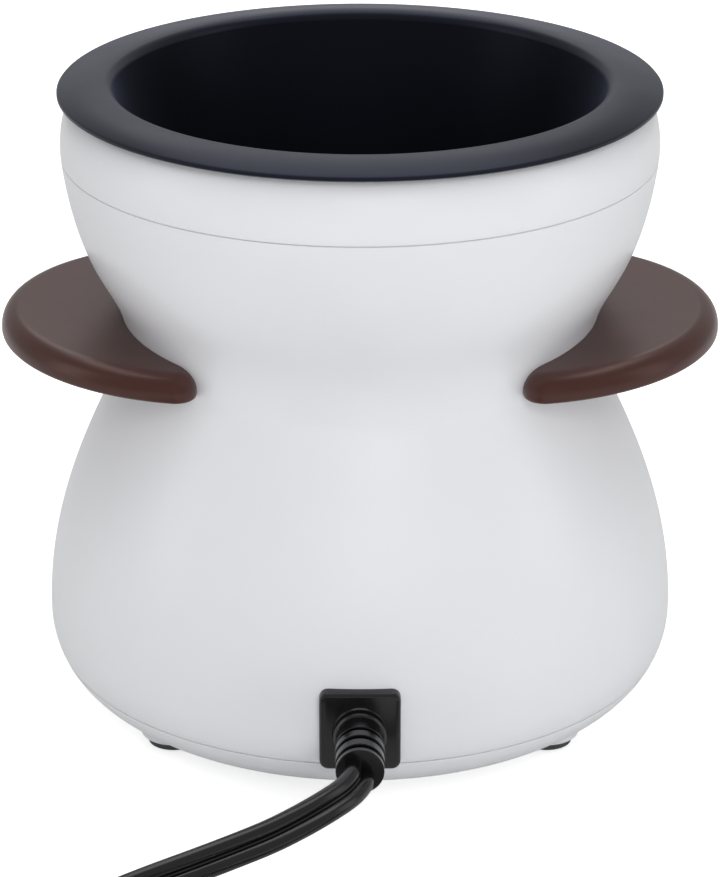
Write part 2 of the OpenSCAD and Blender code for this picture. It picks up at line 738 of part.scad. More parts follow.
// Silicone seal between the ring's deck and the well's flange
module well_seal() {
    color([0.7, 0.3, 0.25]) difference() {
        translate([0, 0, well_top]) cylinder(r = well_flange_r - fit_gap, h = seal_t);
        translate([0, 0, well_top - cut]) cylinder(r = ring_in_r + 2 * fit_gap, h = seal_t + 2 * cut);
        around(ring_screw_pcr, ring_screw_angles) translate([0, 0, well_top - cut])
            cylinder(r = ring_boss_r + 2 * fit_gap, h = seal_t + 2 * cut);
    }
}

module ring_screws() {
    color("silver") around(ring_screw_pcr, ring_screw_angles) translate([0, 0, well_top - well_t])
        screw(well_t + seal_t + ring_screw_bite - 2 * fit_gap);
}

// The element's tube, from one end of its open loop to the other, and the elbows over its legs
module element_form(gap) {
    rotate([0, 0, 90 + element_open / 2]) rotate_extrude(angle = 360 - element_open, $fn = 96)
        translate([element_loop_r, 0]) circle(r = element_tube_r + gap, $fn = 32);
    around(element_loop_r, [90 - element_open / 2, 90 + element_open / 2])
        translate([0, 0, -element_leg_h]) cylinder(r = elbow_r + gap, h = element_leg_h + elbow_r + gap);
}

// Cast plate under the well, grooved for the element
module heating_plate() {
    color([0.6, 0.61, 0.63]) difference() {
        translate([0, 0, plate_z]) cylinder(r = plate_r, h = plate_t);
        translate([0, 0, element_z]) element_form(fit_gap / 2);
        around(stud_pcr, stud_angles) translate([0, 0, plate_z - cut]) cylinder(r = stud_r + fit_gap / 2, h = stud_bite + cut);
    }
}

// Sheathed tubular element with its two ends turned down
module heating_element() {
    color([0.35, 0.35, 0.37]) translate([0, 0, element_z]) {
        element_form(0);
        around(element_loop_r, [90 - element_open / 2, 90 + element_open / 2])
            translate([0, 0, -element_leg_h - pin_h]) cylinder(r = pin_r, h = pin_h + pin_r);
    }
}

// Pressed ring that clamps the element up into its groove
module element_clamp() {
    color("silver") translate([0, 0, clamp_top - clamp_t - fit_gap]) difference() {
        cylinder(r = clamp_out_r + stud_r, h = clamp_t);
        translate([0, 0, -cut]) cylinder(r = clamp_in_r, h = clamp_t + 2 * cut);
        around(stud_pcr, stud_angles) translate([0, 0, -cut]) cylinder(r = stud_r + fit_gap, h = clamp_t + 2 * cut);
        around(element_loop_r, [90 - element_open / 2, 90 + element_open / 2])
            translate([0, 0, -cut]) cylinder(r = leg_hole_r, h = clamp_t + 2 * cut);
    }
}

// Studs that carry the clamp and the heat shield under the plate
module plate_studs() {
    stud_l = plate_z + stud_bite - shield_floor_z + nut_h + 2 * shield_t;
    color("silver") around(stud_pcr, stud_angles) translate([0, 0, plate_z + stud_bite - stud_l])
        cylinder(r = stud_r, h = stud_l);
}

// Nuts under the clamp and on both sides of the shield's floor
module stud_nuts() {
    color("silver") around(stud_pcr, stud_angles)
        for (z = [clamp_top - clamp_t - nut_h - 2 * fit_gap, shield_floor_z + shield_t + fit_gap, shield_floor_z - nut_h - fit_gap])
            translate([0, 0, z]) difference() {
                cylinder(r = nut_r, h = nut_h, $fn = 6);
                translate([0, 0, -cut]) cylinder(r = stud_r + fit_gap / 2, h = nut_h + 2 * cut);
            }
}

// Polished dish that keeps the heat off the housing's lower half
module heat_shield() {
    rim_top = clamp_top;
    color([0.8, 0.81, 0.83]) difference() {
        turned([[0, shield_floor_z], [shield_r - shield_lip, shield_floor_z], [shield_r, shield_floor_z + shield_lip],
            [shield_r, rim_top - shield_t], [shield_r + shield_lip, rim_top - shield_t], [shield_r + shield_lip, rim_top],
            [shield_r - shield_t, rim_top], [shield_r - shield_t, shield_floor_z + shield_lip + shield_t / 2],
            [shield_r - shield_lip - shield_t / 2, shield_floor_z + shield_t], [0, shield_floor_z + shield_t]]);
        around(stud_pcr, stud_angles) translate([0, 0, shield_floor_z - cut]) cylinder(r = stud_r + fit_gap, h = shield_t + 2 * cut);
        around(element_loop_r, [90 - element_open / 2, 90 + element_open / 2])
            translate([0, 0, shield_floor_z - cut]) cylinder(r = leg_hole_r, h = shield_t + 2 * cut);
        translate([0, 0, shield_floor_z - cut]) cylinder(r = stat_r + wire_r, h = shield_t + 2 * cut);
        translate([fuse_x, -fuse_l / 2, shield_floor_z - cut]) cylinder(r = 2 * wire_r, h = shield_t + 2 * cut);
    }
}

// Snap-disc thermostat in the middle of the plate
module thermostat() {
    color([0.2, 0.2, 0.22]) translate([0, 0, plate_z - fit_gap]) {
        translate([0, 0, -stat_cap_h]) cylinder(r = stat_cap_r, h = stat_cap_h);
        translate([0, 0, -stat_h]) cylinder(r = stat_r, h = stat_h - stat_cap_h / 2);
        for (x = [-1, 1]) translate([x * stat_r / 2 - tab_w / 2, -tab_t / 2, -stat_h - tab_l])
            cube([tab_w, tab_t, tab_l + tab_t]);
    }
}

// Thermal fuse in its sleeve, under the plate
module thermal_fuse() {
    color([0.85, 0.83, 0.75]) translate([fuse_x, fuse_l / 2, plate_z - fuse_r - fit_gap]) rotate([90, 0, 0])
        cylinder(r = fuse_r, h = fuse_l, $fn = 32);
}

// Saddle that holds the fuse against the plate
module fuse_clip() {
    saddle_r = fuse_r + fit_gap;
    color("silver") translate([fuse_x, clip_w / 2, plate_z - fuse_r - fit_gap]) rotate([90, 0, 0]) difference() {
        union() {
            cylinder(r = saddle_r + clip_t, h = clip_w, $fn = 32);
            translate([-saddle_r - clip_t, 0, 0]) cube([2 * (saddle_r + clip_t), fuse_r, clip_w]);
            translate([-saddle_r - clip_t - clip_w / 2, fuse_r - clip_t, 0]) cube([saddle_r + clip_t, clip_t, clip_w]);
        }
        translate([0, 0, -cut]) cylinder(r = saddle_r, h = clip_w + 2 * cut, $fn = 32);
        translate([-saddle_r, 0, -cut]) cube([2 * saddle_r, fuse_r + cut, clip_w + 2 * cut]);
    }
}

// Rotary switch behind the pod, with its bush through the wall
module switch_housing() {
    front = pod_y - pod_wall - fit_gap;
    color([0.15, 0.15, 0.16]) difference() {
        union() {
            translate([-switch_w / 2, -front, knob_z - switch_w / 2]) cube([switch_w, switch_d, switch_w]);
            forward(front - cut, knob_z) cylinder(r = bush_r, h = cut + pod_wall + fit_gap + bush_proud);
            for (x = [-1, 1]) translate([x * tab_pitch / 2 - tab_w / 2, -front + switch_d - cut, knob_z - tab_t / 2])
                cube([tab_w, tab_l + cut, tab_t]);
        }
        forward(front - shaft_in - switch_gap, knob_z) cylinder(r = shaft_r + run_gap, h = switch_d + pod_y);
    }
}

module switch_nut() {
    color("silver") forward(pod_y + fit_gap / 2, knob_z) difference() {
        cylinder(r = nut_af_r, h = switch_nut_h, $fn = 6);
        translate([0, 0, -cut]) cylinder(r = bush_r + fit_gap / 2, h = switch_nut_h + 2 * cut);
    }
}

// Shaft of the switch, with a flat for the knob
module switch_shaft() {
    inner = pod_y - pod_wall - fit_gap - shaft_in;
    outer = knob_back + knob_bore_l;
    color([0.75, 0.72, 0.6]) difference() {
        forward(inner, knob_z) cylinder(r = shaft_r, h = outer - inner);
        translate([-shaft_r, -outer - cut, knob_z + shaft_r / 2])
            cube([2 * shaft_r, outer - knob_back - knob_recess_h + cut, shaft_r]);
    }
}

// Knob with a round skirt and a fluted grip
module control_knob() {
    color([0.3, 0.2, 0.17]) difference() {
        forward(knob_back, knob_z) difference() {
            turned([[0, 0], [knob_r, 0], [knob_r, skirt_h - knob_edge_r / 2], [knob_r - knob_edge_r / 2, skirt_h],
                [knob_grip_r + knob_edge_r, skirt_h], [knob_grip_r, skirt_h + knob_edge_r],
                [knob_grip_r - knob_edge_r / 2, knob_h - knob_edge_r],
                [knob_grip_r - knob_edge_r, knob_h - knob_edge_r / 3],
                [knob_grip_r - 2 * knob_edge_r, knob_h], [0, knob_h]]);
            translate([0, 0, -cut]) cylinder(r = knob_recess_r, h = knob_recess_h + cut);
            around(knob_grip_r + flute_r - flute_depth, [for (i = [0:flute_count - 1]) 360 * (i + 0.5) / flute_count])
                translate([0, 0, skirt_h + knob_edge_r / 2]) cylinder(r = flute_r, h = knob_h, $fn = 32);
            translate([-knob_edge_r / 2, knob_grip_r / 3, knob_h - knob_edge_r / 2])
                cube([knob_edge_r, knob_grip_r, knob_h]);
        }
        difference() {
            forward(knob_back - cut, knob_z) cylinder(r = shaft_r + fit_gap / 2, h = knob_bore_l + cut + fit_gap);
            translate([-2 * shaft_r, -knob_back - 2 * knob_bore_l, knob_z + shaft_r / 2 + fit_gap / 2])
                cube([4 * shaft_r, 2 * knob_bore_l - knob_recess_h, 2 * shaft_r]);
        }
    }
}

// Domed lens of the pilot lamp, pushed through the wall from outside
module pilot_lens() {
    color([0.85, 0.15, 0.1]) at_lamp() difference() {
        turned([[0, -lens_stem_l], [lamp_r, -lens_stem_l], [lamp_r, 0], [lens_rim_r, 0], [lens_rim_r, lens_rim_h / 2],
            [lens_rim_r - lens_rim_h / 2, lens_rim_h], [lamp_r, lens_rim_h],
            [lamp_r * 0.8, lens_rim_h + lens_dome_h * 0.55], [lamp_r * 0.45, lens_rim_h + lens_dome_h * 0.88],
            [0, lens_rim_h + lens_dome_h]]);
        translate([0, 0, -lens_stem_l - cut]) cylinder(r = neon_r + fit_gap, h = cut + neon_in + fit_gap, $fn = 32);
    }
}

module neon_lamp() {
    color([0.9, 0.6, 0.4]) at_lamp() translate([0, 0, -lens_stem_l + neon_in - neon_l]) {
        cylinder(r = neon_r, h = neon_l - neon_r, $fn = 32);
        translate([0, 0, neon_l - neon_r]) sphere(r = neon_r, $fn = 32);
    }
}

// Push-on ring that holds the lens from inside
module lamp_retainer() {
    color("silver") at_lamp() translate([0, 0, -wall_t - retainer_t - retainer_gap]) difference() {
        cylinder(r = lens_rim_r + lens_rim_h, h = retainer_t);
        translate([0, 0, -cut]) cylinder(r = lamp_r + fit_gap / 2, h = retainer_t + 2 * cut);
    }
}

// Closed cap that joins the lead to the inner wires, lying on the base
module crimp_cap(x) {
    color([0.9, 0.9, 0.85]) translate([x, cap_y, cap_z]) rotate([-90, 0, 0]) turned([[0, 0], [cap_r * 0.7, 0],
        [cap_r, cap_r * 0.5], [cap_r, cap_l - cap_r], [cap_r * 0.8, cap_l], [0, cap_l]]);
}

module crimp_cap_live() {
    crimp_cap(cap_x);
}

module crimp_cap_neutral() {
    crimp_cap(-cap_x);
}

// One core of the mains lead, from the strain relief to its cap
module core(x) {
    start = [x * cord_t / 2, neck_y - fit_gap, relief_z];
    finish = [x * cap_x, cap_y + cap_l + fit_gap, cap_z];
    color([0.1, 0.1, 0.1]) wire([start, start - [0, cord_w, 0], (start + finish) / 2 + [0, 0, cord_t],
        finish + [0, cord_w, 0], finish]);
}

module lead_live() {
    core(1);
}

module lead_neutral() {
    core(-1);
}

// Places of the wires' inner ends
tab_y = -(pod_y - pod_wall - fit_gap) + switch_d + tab_l + fit_gap;
fuse_end = [fuse_x, -fuse_l / 2 - 3 * fit_gap, plate_z - fuse_r - fit_gap];
pin_end = [-element_loop_r * sin(element_open / 2), element_loop_r * cos(element_open / 2),
    element_z - element_leg_h - pin_h - fit_gap];

module wire_to_switch() {
    a = [cap_x, cap_y - fit_gap, cap_z];
    b = [tab_pitch / 2, tab_y, knob_z];
    color([0.6, 0.1, 0.1]) wire([a, a - [0, cord_w, 0], (a + b) / 2, b + [0, cord_w, 0], b]);
}

module wire_to_fuse() {
    a = [-tab_pitch / 2, tab_y, knob_z];
    color([0.6, 0.1, 0.1]) wire([a, a + [0, cord_w, 0], [fuse_x, fuse_end[1] - cord_w, shield_floor_z - cord_w],
        [fuse_x, -fuse_l / 2 - wire_r / 2, shield_floor_z], fuse_end - [0, cord_t, cord_t],
        fuse_end - [0, cord_t / 2, 0], fuse_end]);
}

module wire_to_element() {
    a = [-cap_x, cap_y - fit_gap, cap_z];
    color([0.85, 0.85, 0.85]) wire([a, a - [0, cord_w, 0], a + [-cord_w, 0, 2 * cord_w], (a + pin_end) / 2,
        pin_end - [0, 0, cord_w], pin_end]);
}

// A flat block with rounded corners and a rounded front edge, its front at z = h
module soft_plate(w, l, h, corner, edge) {
    section = concat([[0, 0], [corner, 0]], [for (i = [0:ear_steps]) let (a = 90 * i / ear_steps)
        [corner - edge + edge * cos(a), h - edge + edge * sin(a)]], [[0, h]]);
    hull() for (x = [-1, 1]) for (y = [-1, 1])
        translate([x * (w / 2 - corner), y * (l / 2 - corner), 0]) rotate_extrude($fn = 32) polygon(section);
}

// Moulded strain relief: a flange outside, a neck in the notch, a collar inside, a ribbed sleeve
module strain_relief() {
    // Steps of the sleeve, as shares of its length and of its taper
    rib_shares = [[0, 0], [0.15, 0.1], [0.16, 0.6], [0.41, 0.7], [0.42, 2.4], [0.49, 2.4], [0.5, 0.6], [0.63, 0.7],
        [0.64, 2.5], [0.7, 2.5], [0.71, 0.8], [0.85, 0.9], [0.86, 2.6], [0.91, 2.6], [0.92, 0.9], [1, 1]];
    taper = sleeve_root_r - sleeve_tip_r;
    back = wall_t;
    color([0.1, 0.1, 0.11]) union() {
        difference() {
            rearward(relief_y - relief_proud - back) soft_plate(relief_w, relief_h, relief_proud + back,
                relief_corner_r, relief_edge_r);
            body_form(fit_gap);
        }
        translate([-neck_w / 2, neck_y, relief_z - neck_h / 2]) cube([neck_w, relief_y - neck_y - relief_proud / 2, neck_h]);
        translate([-collar_w / 2, collar_y, relief_z - neck_h / 2]) cube([collar_w, collar_t, neck_h]);
        rearward(relief_y - relief_proud / 2) turned(concat([[0, 0], [sleeve_root_r, 0]],
            [for (s = rib_shares) [sleeve_root_r - s[1] * taper, relief_proud / 2 + s[0] * sleeve_l]],
            [[0, relief_proud / 2 + sleeve_l]]));
    }
}

// Lead from the strain relief to the coil
module cord_lead() {
    color([0.1, 0.1, 0.11]) skin(flat_rings(lead_route, scaled(cord_shares, cord_w, cord_t), lead_roll));
}

// Coil: inwards on the lower layer, outwards on the upper one
coil_n = round(coil_turns * coil_rings);
function coil_rise(u) = let (s = (u - coil_turns / 2 + coil_climb) / (2 * coil_climb), q = max(0, min(1, s)))
    q * q * (3 - 2 * q);
function coil_radius(u) = coil_r - coil_pitch * min(u, coil_turns - u);
function coil_at(u) = [coil_c[0] + coil_radius(u) * cos(360 * u), coil_c[1] + coil_radius(u) * sin(360 * u),
    coil_z + coil_layer * coil_rise(u)];
coil_route = [for (i = [0:coil_n]) coil_at(coil_turns * i / coil_n)];
coil_skin = flat_rings(coil_route, scaled(coil_shares, cord_w, cord_t), [90, 90]);

module cord_coil() {
    color([0.1, 0.1, 0.11]) skin(coil_skin);
}

module cord_tail() {
    color([0.1, 0.1, 0.11]) skin(flat_rings(tail_route, scaled(cord_shares, cord_w, cord_t), tail_roll));
}

// Least gap between turns, measured between the corners of rings half a turn or more apart
coil_gap = min([for (i = [0:coil_n]) for (j = [i + coil_rings / 2:1:coil_n])
    let (d = coil_route[i] - coil_route[j]) if (norm(d) < 2 * cord_w)
        for (p = coil_skin[i]) for (q = coil_skin[j]) norm(p - q)]);
route_l = function (p) [for (i = 0, s = 0; i < len(p); i = i + 1, s = s + (i < len(p) ? norm(p[i] - p[i - 1]) : 0)) s][len(p) - 1];
echo(coil_gap = coil_gap, lead = route_l(lead_route), coil = route_l(coil_route), tail = route_l(tail_route));

// Band round the coil's turns
module coil_tie() {
    tie_h = coil_z + coil_layer + cord_w / 2 + tie_room + tie_t;
    color([0.15, 0.15, 0.15]) translate([coil_c[0], coil_c[1], 0]) rotate([0, 0, tie_angle])
        translate([0, -tie_w / 2, 0]) difference() {
            translate([tie_in_r - tie_t - tie_room, 0, 0]) cube([tie_out_r - tie_in_r + 2 * (tie_t + tie_room), tie_w, tie_h]);
            translate([tie_in_r - tie_room, -cut, tie_t]) cube([tie_out_r - tie_in_r + 2 * tie_room, tie_w + 2 * cut, tie_h - 2 * tie_t]);
        }
}

// Lays the Z axis of its children along the plug, towards its blades
module at_plug() {
    translate(plug_c) rotate([0, -90, 0]) children();
}

// Flat two-pin plug, lying on the table
module plug_body() {
    nose = plug_l * (1 - plug_taper_share);
    color([0.1, 0.1, 0.11]) at_plug() difference() {
        hull() {
            translate([-plug_t * 0.3, -plug_w * 0.28, 0]) cube([plug_t * 0.6, plug_w * 0.56, nose / 2]);
            translate([-plug_t / 2, -plug_w / 2 + plug_t / 4, plug_l - nose]) cube([plug_t, plug_w - plug_t / 2, nose]);
            translate([-plug_t / 4, -plug_w / 2, plug_l - nose]) cube([plug_t / 2, plug_w, nose]);
        }
        for (y = [-1, 1]) translate([-blade_wide_w / 2 - fit_gap / 2, y * blade_pitch / 2 - blade_t / 2 - fit_gap / 2, plug_l - blade_sunk])
            cube([blade_wide_w + fit_gap, blade_t + fit_gap, blade_sunk + cut]);
        for (side = [-1, 1]) for (i = [0:grip_ribs - 1])
            translate([-plug_t, side * plug_w / 2 - grip_rib_d, plug_l - nose / 2 - (2 * i + 1) * grip_rib_t])
                cube([2 * plug_t, 2 * grip_rib_d, grip_rib_t]);
    }
}

// Two blades, the neutral one wider
module plug_blades() {
    widths = [blade_w, blade_wide_w];
    color([0.8, 0.8, 0.82]) at_plug() for (i = [0, 1])
        translate([-widths[i] / 2, (2 * i - 1) * blade_pitch / 2 - blade_t / 2, plug_l - blade_sunk + fit_gap]) difference() {
            cube([widths[i], blade_t, blade_l + blade_sunk - fit_gap]);
            translate([widths[i] / 2, -cut, blade_sunk + blade_l - blade_hole_in]) rotate([-90, 0, 0])
                cylinder(r = blade_hole_r, h = blade_t + 2 * cut, $fn = 32);
        }
}

// Coated pot with a rolled lip and a drooping rim
module melting_pot() {
    outer = cup(mouth_r, lip_c[1], pot_corner_r, pot_floor_z);
    inner = cup(mouth_r - pot_t / cos(pot_lean), lip_c[1], pot_corner_r - pot_t, pot_floor_z + pot_t);
    color([0.12, 0.12, 0.13]) turned(concat(outer, drop_first(lip_arc(under_lip_r, 180, 90 - rim_droop)),
        [rim_end(under_lip_r), rim_end(lip_r)], lip_arc(lip_r, 90 - rim_droop, 180),
        flip([for (i = [0:len(inner) - 2]) inner[i]])));
}

outer_shell();
top_ring();
base_cover();
left_handle();
right_handle();
handle_screws();
foot_front_left();
foot_front_right();
foot_rear_left();
foot_rear_right();
base_screws();
heating_well();
well_seal();
ring_screws();
heating_plate();
heating_element();
element_clamp();
plate_studs();
stud_nuts();
heat_shield();
thermostat();
thermal_fuse();
fuse_clip();
switch_housing();
switch_nut();
pilot_lens();
neon_lamp();
lamp_retainer();
crimp_cap_live();
crimp_cap_neutral();
lead_live();
lead_neutral();
wire_to_switch();
wire_to_fuse();
wire_to_element();
strain_relief();
cord_lead();
cord_coil();
cord_tail();
coil_tie();
plug_body();
plug_blades();
switch_shaft();
control_knob();
melting_pot();
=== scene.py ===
"""Electric fondue pot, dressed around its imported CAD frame.

Sizes inside the classes are millimetres in the part's own frame: +Z is up, the mains
lead leaves towards +Y and the control knob faces -Y.
"""

import json
import logging
import math
from collections.abc import Sequence
from dataclasses import dataclass, field
from enum import Enum

import bmesh
import bpy
from mathutils import Matrix, Vector


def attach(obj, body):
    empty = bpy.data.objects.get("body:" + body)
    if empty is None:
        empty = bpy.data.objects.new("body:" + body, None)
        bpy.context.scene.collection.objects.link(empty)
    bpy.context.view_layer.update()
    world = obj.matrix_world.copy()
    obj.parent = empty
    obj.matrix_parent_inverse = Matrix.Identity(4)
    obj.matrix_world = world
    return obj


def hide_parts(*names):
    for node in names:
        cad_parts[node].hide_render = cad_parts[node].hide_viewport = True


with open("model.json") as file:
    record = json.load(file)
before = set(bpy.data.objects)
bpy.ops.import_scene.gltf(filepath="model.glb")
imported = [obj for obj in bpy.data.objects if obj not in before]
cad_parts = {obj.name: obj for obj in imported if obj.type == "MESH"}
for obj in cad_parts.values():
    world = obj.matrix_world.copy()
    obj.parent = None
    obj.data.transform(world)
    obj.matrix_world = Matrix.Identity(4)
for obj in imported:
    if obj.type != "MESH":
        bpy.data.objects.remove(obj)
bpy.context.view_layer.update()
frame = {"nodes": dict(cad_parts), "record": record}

logging.basicConfig(level=logging.INFO, format="%(message)s")
LOG = logging.getLogger("fondue_pot")

MM = 0.001
# A wave texture runs through this many radians in one unit of its scale.
WAVE_RADIANS = 20.0
# Steps round the axis of the large round pieces.
ROUND_STEPS = 192
Point = tuple[float, float]
Mesh = tuple[list[Vector], list[list[int]]]


def linear(code: str) -> tuple[float, float, float, float]:
    """Turns an sRGB hex colour into the linear colour that Blender takes.

    Args:
        code: Six hex digits, with or without a leading hash.

    Returns:
        Red, green, blue and an alpha of 1.
    """
    digits = code.lstrip("#")
    parts = [int(digits[i : i + 2], 16) / 255 for i in (0, 2, 4)]
    low = [c / 12.92 if c <= 0.04045 else ((c + 0.055) / 1.055) ** 2.4 for c in parts]
    return (low[0], low[1], low[2], 1.0)


def add_node(tree: bpy.types.NodeTree, kind: str, inputs: dict | None = None,
             **settings: object) -> bpy.types.Node:
    """Adds a node with its settings, its input values and its incoming links.

    Args:
        tree: The tree that takes the node.
        kind: The node's type name.
        inputs: Input name or index to a value, or to an output socket to link from.
        **settings: Properties of the node itself.

    Returns:
        The new node.
    """
    node = tree.nodes.new(kind)
    for name, value in settings.items():
        setattr(node, name, value)
    for name, value in (inputs or {}).items():
        if isinstance(value, bpy.types.NodeSocket):
            tree.links.new(value, node.inputs[name])
        else:
            node.inputs[name].default_value = value
    return node


class Surface(Enum):
    """How a surface was made, which decides its fine pattern."""

    MOULDED = "moulded"
    SPUN = "spun"
    CAST = "cast"
    WOVEN = "woven"
    COATED = "coated"
    CLEAR = "clear"


@dataclass(frozen=True)
class Finish:
    """A real material with the surface that its making left on it."""

    name: str
    colour: str
    shade: str
    surface: Surface
    roughness: float
    roughness_spread: float = 0.05
    ior: float = 1.5
    metallic: float = 0.0
    patch_mm: float = 18.0
    grain_mm: float = 0.6
    grain_height_mm: float = 0.01
    transmission: float = 0.0
    sheen: float = 0.0
    gleam: str = "#FFFFFF"

    def grain(self, tree: bpy.types.NodeTree, place: bpy.types.NodeSocket) -> bpy.types.NodeSocket:
        """Makes the fine pattern of the surface, from 0 to 1.

        Args:
            tree: The material's tree.
            place: Object coordinates in metres.

        Returns:
            The pattern's output socket.
        """
        per_metre = 1 / (self.grain_mm * MM)
        waves = per_metre / WAVE_RADIANS
        if self.surface is Surface.SPUN:
            rings = add_node(tree, "ShaderNodeTexWave", {"Vector": place, "Scale": waves, "Distortion": 0.4,
                             "Detail": 2.0}, wave_type="RINGS", rings_direction="Z")
            return rings.outputs["Fac"]
        if self.surface is Surface.WOVEN:
            warp = add_node(tree, "ShaderNodeTexWave", {"Vector": place, "Scale": waves},
                            wave_type="BANDS", bands_direction="DIAGONAL")
            weft = add_node(tree, "ShaderNodeTexWave", {"Vector": place, "Scale": waves},
                            wave_type="BANDS", bands_direction="Y")
            cloth = add_node(tree, "ShaderNodeMath", {0: warp.outputs["Fac"], 1: weft.outputs["Fac"]},
                             operation="MAXIMUM")
            return cloth.outputs[0]
        detail = 4.0 if self.surface is Surface.CAST else 2.0
        grit = add_node(tree, "ShaderNodeTexNoise", {"Vector": place, "Scale": per_metre, "Detail": detail,
                        "Roughness": 0.6})
        return grit.outputs["Fac"]

    def material(self) -> bpy.types.Material:
        """Makes the material once, and returns it again each later time.

        Returns:
            The material.
        """
        made = bpy.data.materials.get(self.name)
        if made is not None:
            return made
        made = bpy.data.materials.new(self.name)
        made.use_nodes = True
        tree = made.node_tree
        tree.nodes.clear()
        place = add_node(tree, "ShaderNodeTexCoord").outputs["Object"]
        patches = add_node(tree, "ShaderNodeTexNoise", {"Vector": place, "Scale": 1 / (self.patch_mm * MM),
                           "Detail": 3.0, "Roughness": 0.55})
        tint = add_node(tree, "ShaderNodeMix", {"Factor": patches.outputs["Fac"], 6: linear(self.colour),
                        7: linear(self.shade)}, data_type="RGBA")
        gloss = add_node(tree, "ShaderNodeMapRange", {"Value": patches.outputs["Fac"], "From Min": 0.1,
                         "From Max": 0.9, "To Min": self.roughness - self.roughness_spread,
                         "To Max": self.roughness + self.roughness_spread})
        bump = add_node(tree, "ShaderNodeBump", {"Height": self.grain(tree, place), "Strength": 1.0,
                        "Distance": self.grain_height_mm * MM})
        shader = add_node(tree, "ShaderNodeBsdfPrincipled", {"Base Color": tint.outputs[2],
                          "Roughness": gloss.outputs[0], "Normal": bump.outputs[0], "Metallic": self.metallic,
                          "IOR": self.ior, "Transmission Weight": self.transmission,
                          "Specular Tint": linear(self.gleam), "Sheen Tint": linear(self.gleam),
                          "Sheen Weight": self.sheen, "Sheen Roughness": 0.4})
        add_node(tree, "ShaderNodeOutputMaterial", {"Surface": shader.outputs[0]})
        made.diffuse_color = linear(self.colour)
        return made


# White ABS moulded in a polished tool: a soft even gloss over a faint ripple.
WHITE_ABS = Finish("moulded_white_abs", "#E9EAED", "#E3E4E8", Surface.MOULDED, 0.3, 0.03, 1.53,
                   patch_mm=45, grain_mm=3.5, grain_height_mm=0.006)
# Dark brown phenolic: satin, lightly mottled, with a fine moulded grain.
BROWN_PHENOLIC = Finish("moulded_brown_phenolic", "#3F2018", "#351A13", Surface.MOULDED, 0.3, 0.04, 1.56,
                        patch_mm=12, grain_mm=0.5, grain_height_mm=0.008, gleam="#FFE2E0")
# Sprayed and baked non-stick coating: near black, finely pebbled, a wide soft sheen.
NON_STICK = Finish("sprayed_non_stick_coating", "#070809", "#050607", Surface.COATED, 0.36, 0.04, 1.45,
                   patch_mm=20, grain_mm=0.7, grain_height_mm=0.004, sheen=0.1, gleam="#B8C0EA")
# Flexible vinyl of the lead and its fittings: black, satin, faintly dusty.
BLACK_VINYL = Finish("moulded_black_vinyl", "#09090B", "#060608", Surface.MOULDED, 0.22, 0.04, 1.53,
                     patch_mm=9, grain_mm=0.4, grain_height_mm=0.006)
# Rubber of the feet: dull, dark grey.
FOOT_RUBBER = Finish("moulded_grey_rubber", "#4B4C4F", "#3F4042", Surface.MOULDED, 0.7, 0.08, 1.5,
                     patch_mm=5, grain_mm=0.5, grain_height_mm=0.02, sheen=0.15)
# Silicone of the seal: matt red-brown.
RED_SILICONE = Finish("moulded_red_silicone", "#8E4334", "#7F382B", Surface.MOULDED, 0.6, 0.05, 1.41,
                      patch_mm=8, grain_mm=0.6, grain_height_mm=0.01)
# Spun aluminium: bright, with fine turning rings.
SPUN_ALUMINIUM = Finish("spun_aluminium", "#C9CACD", "#BDBEC2", Surface.SPUN, 0.32, 0.05, metallic=1.0,
                        patch_mm=25, grain_mm=0.8, grain_height_mm=0.004)
# Cast aluminium of the plate: greyer and pitted.
CAST_ALUMINIUM = Finish("cast_aluminium", "#A6A7A9", "#96979A", Surface.CAST, 0.5, 0.08, metallic=1.0,
                        patch_mm=10, grain_mm=0.8, grain_height_mm=0.04)
# Zinc-plated steel of the fasteners: pale with a bluish cast.
ZINC_STEEL = Finish("plated_zinc_steel", "#B9BCC2", "#A9ACB4", Surface.CAST, 0.35, 0.08, metallic=1.0,
                    patch_mm=4, grain_mm=0.5, grain_height_mm=0.005)
# Sheath of the element: steel browned by heat.
HEATED_STEEL = Finish("heat_browned_steel", "#5A544E", "#47423E", Surface.CAST, 0.5, 0.1, metallic=1.0,
                      patch_mm=9, grain_mm=0.7, grain_height_mm=0.01)
# Nickel-plated brass of the plug's blades.
NICKEL_BRASS = Finish("plated_nickel_brass", "#CFCBBE", "#BFBAAC", Surface.CAST, 0.25, 0.05, metallic=1.0,
                      patch_mm=6, grain_mm=0.4, grain_height_mm=0.003)
# Glass-filled nylon of the switch and the thermostat.
BLACK_NYLON = Finish("moulded_black_nylon", "#1E1E20", "#18181A", Surface.MOULDED, 0.5, 0.05, 1.53,
                     patch_mm=6, grain_mm=0.5, grain_height_mm=0.012)
# Milky nylon of the crimp caps.
MILKY_NYLON = Finish("moulded_milky_nylon", "#D9D8CF", "#CECDC2", Surface.MOULDED, 0.4, 0.05, 1.53,
                     patch_mm=6, grain_mm=0.6, grain_height_mm=0.008)
# Glazed sleeve of the thermal fuse.
GLAZED_SLEEVE = Finish("glazed_ceramic_sleeve", "#D2CCBB", "#C6C0AE", Surface.COATED, 0.25, 0.04, 1.55,
                       patch_mm=4, grain_mm=0.6, grain_height_mm=0.004)
# Woven glass sleeve of the inner wires.
GLASS_SLEEVE = Finish("woven_glass_sleeve", "#C9C3B4", "#B5AE9E", Surface.WOVEN, 0.75, 0.05, 1.5,
                      patch_mm=5, grain_mm=0.9, grain_height_mm=0.08, sheen=0.2)
# Clear red acrylic of the pilot lens.
RED_ACRYLIC = Finish("moulded_red_acrylic", "#C4231A", "#B51D15", Surface.CLEAR, 0.08, 0.02, 1.49,
                     patch_mm=6, grain_mm=1.5, grain_height_mm=0.002, transmission=0.55)
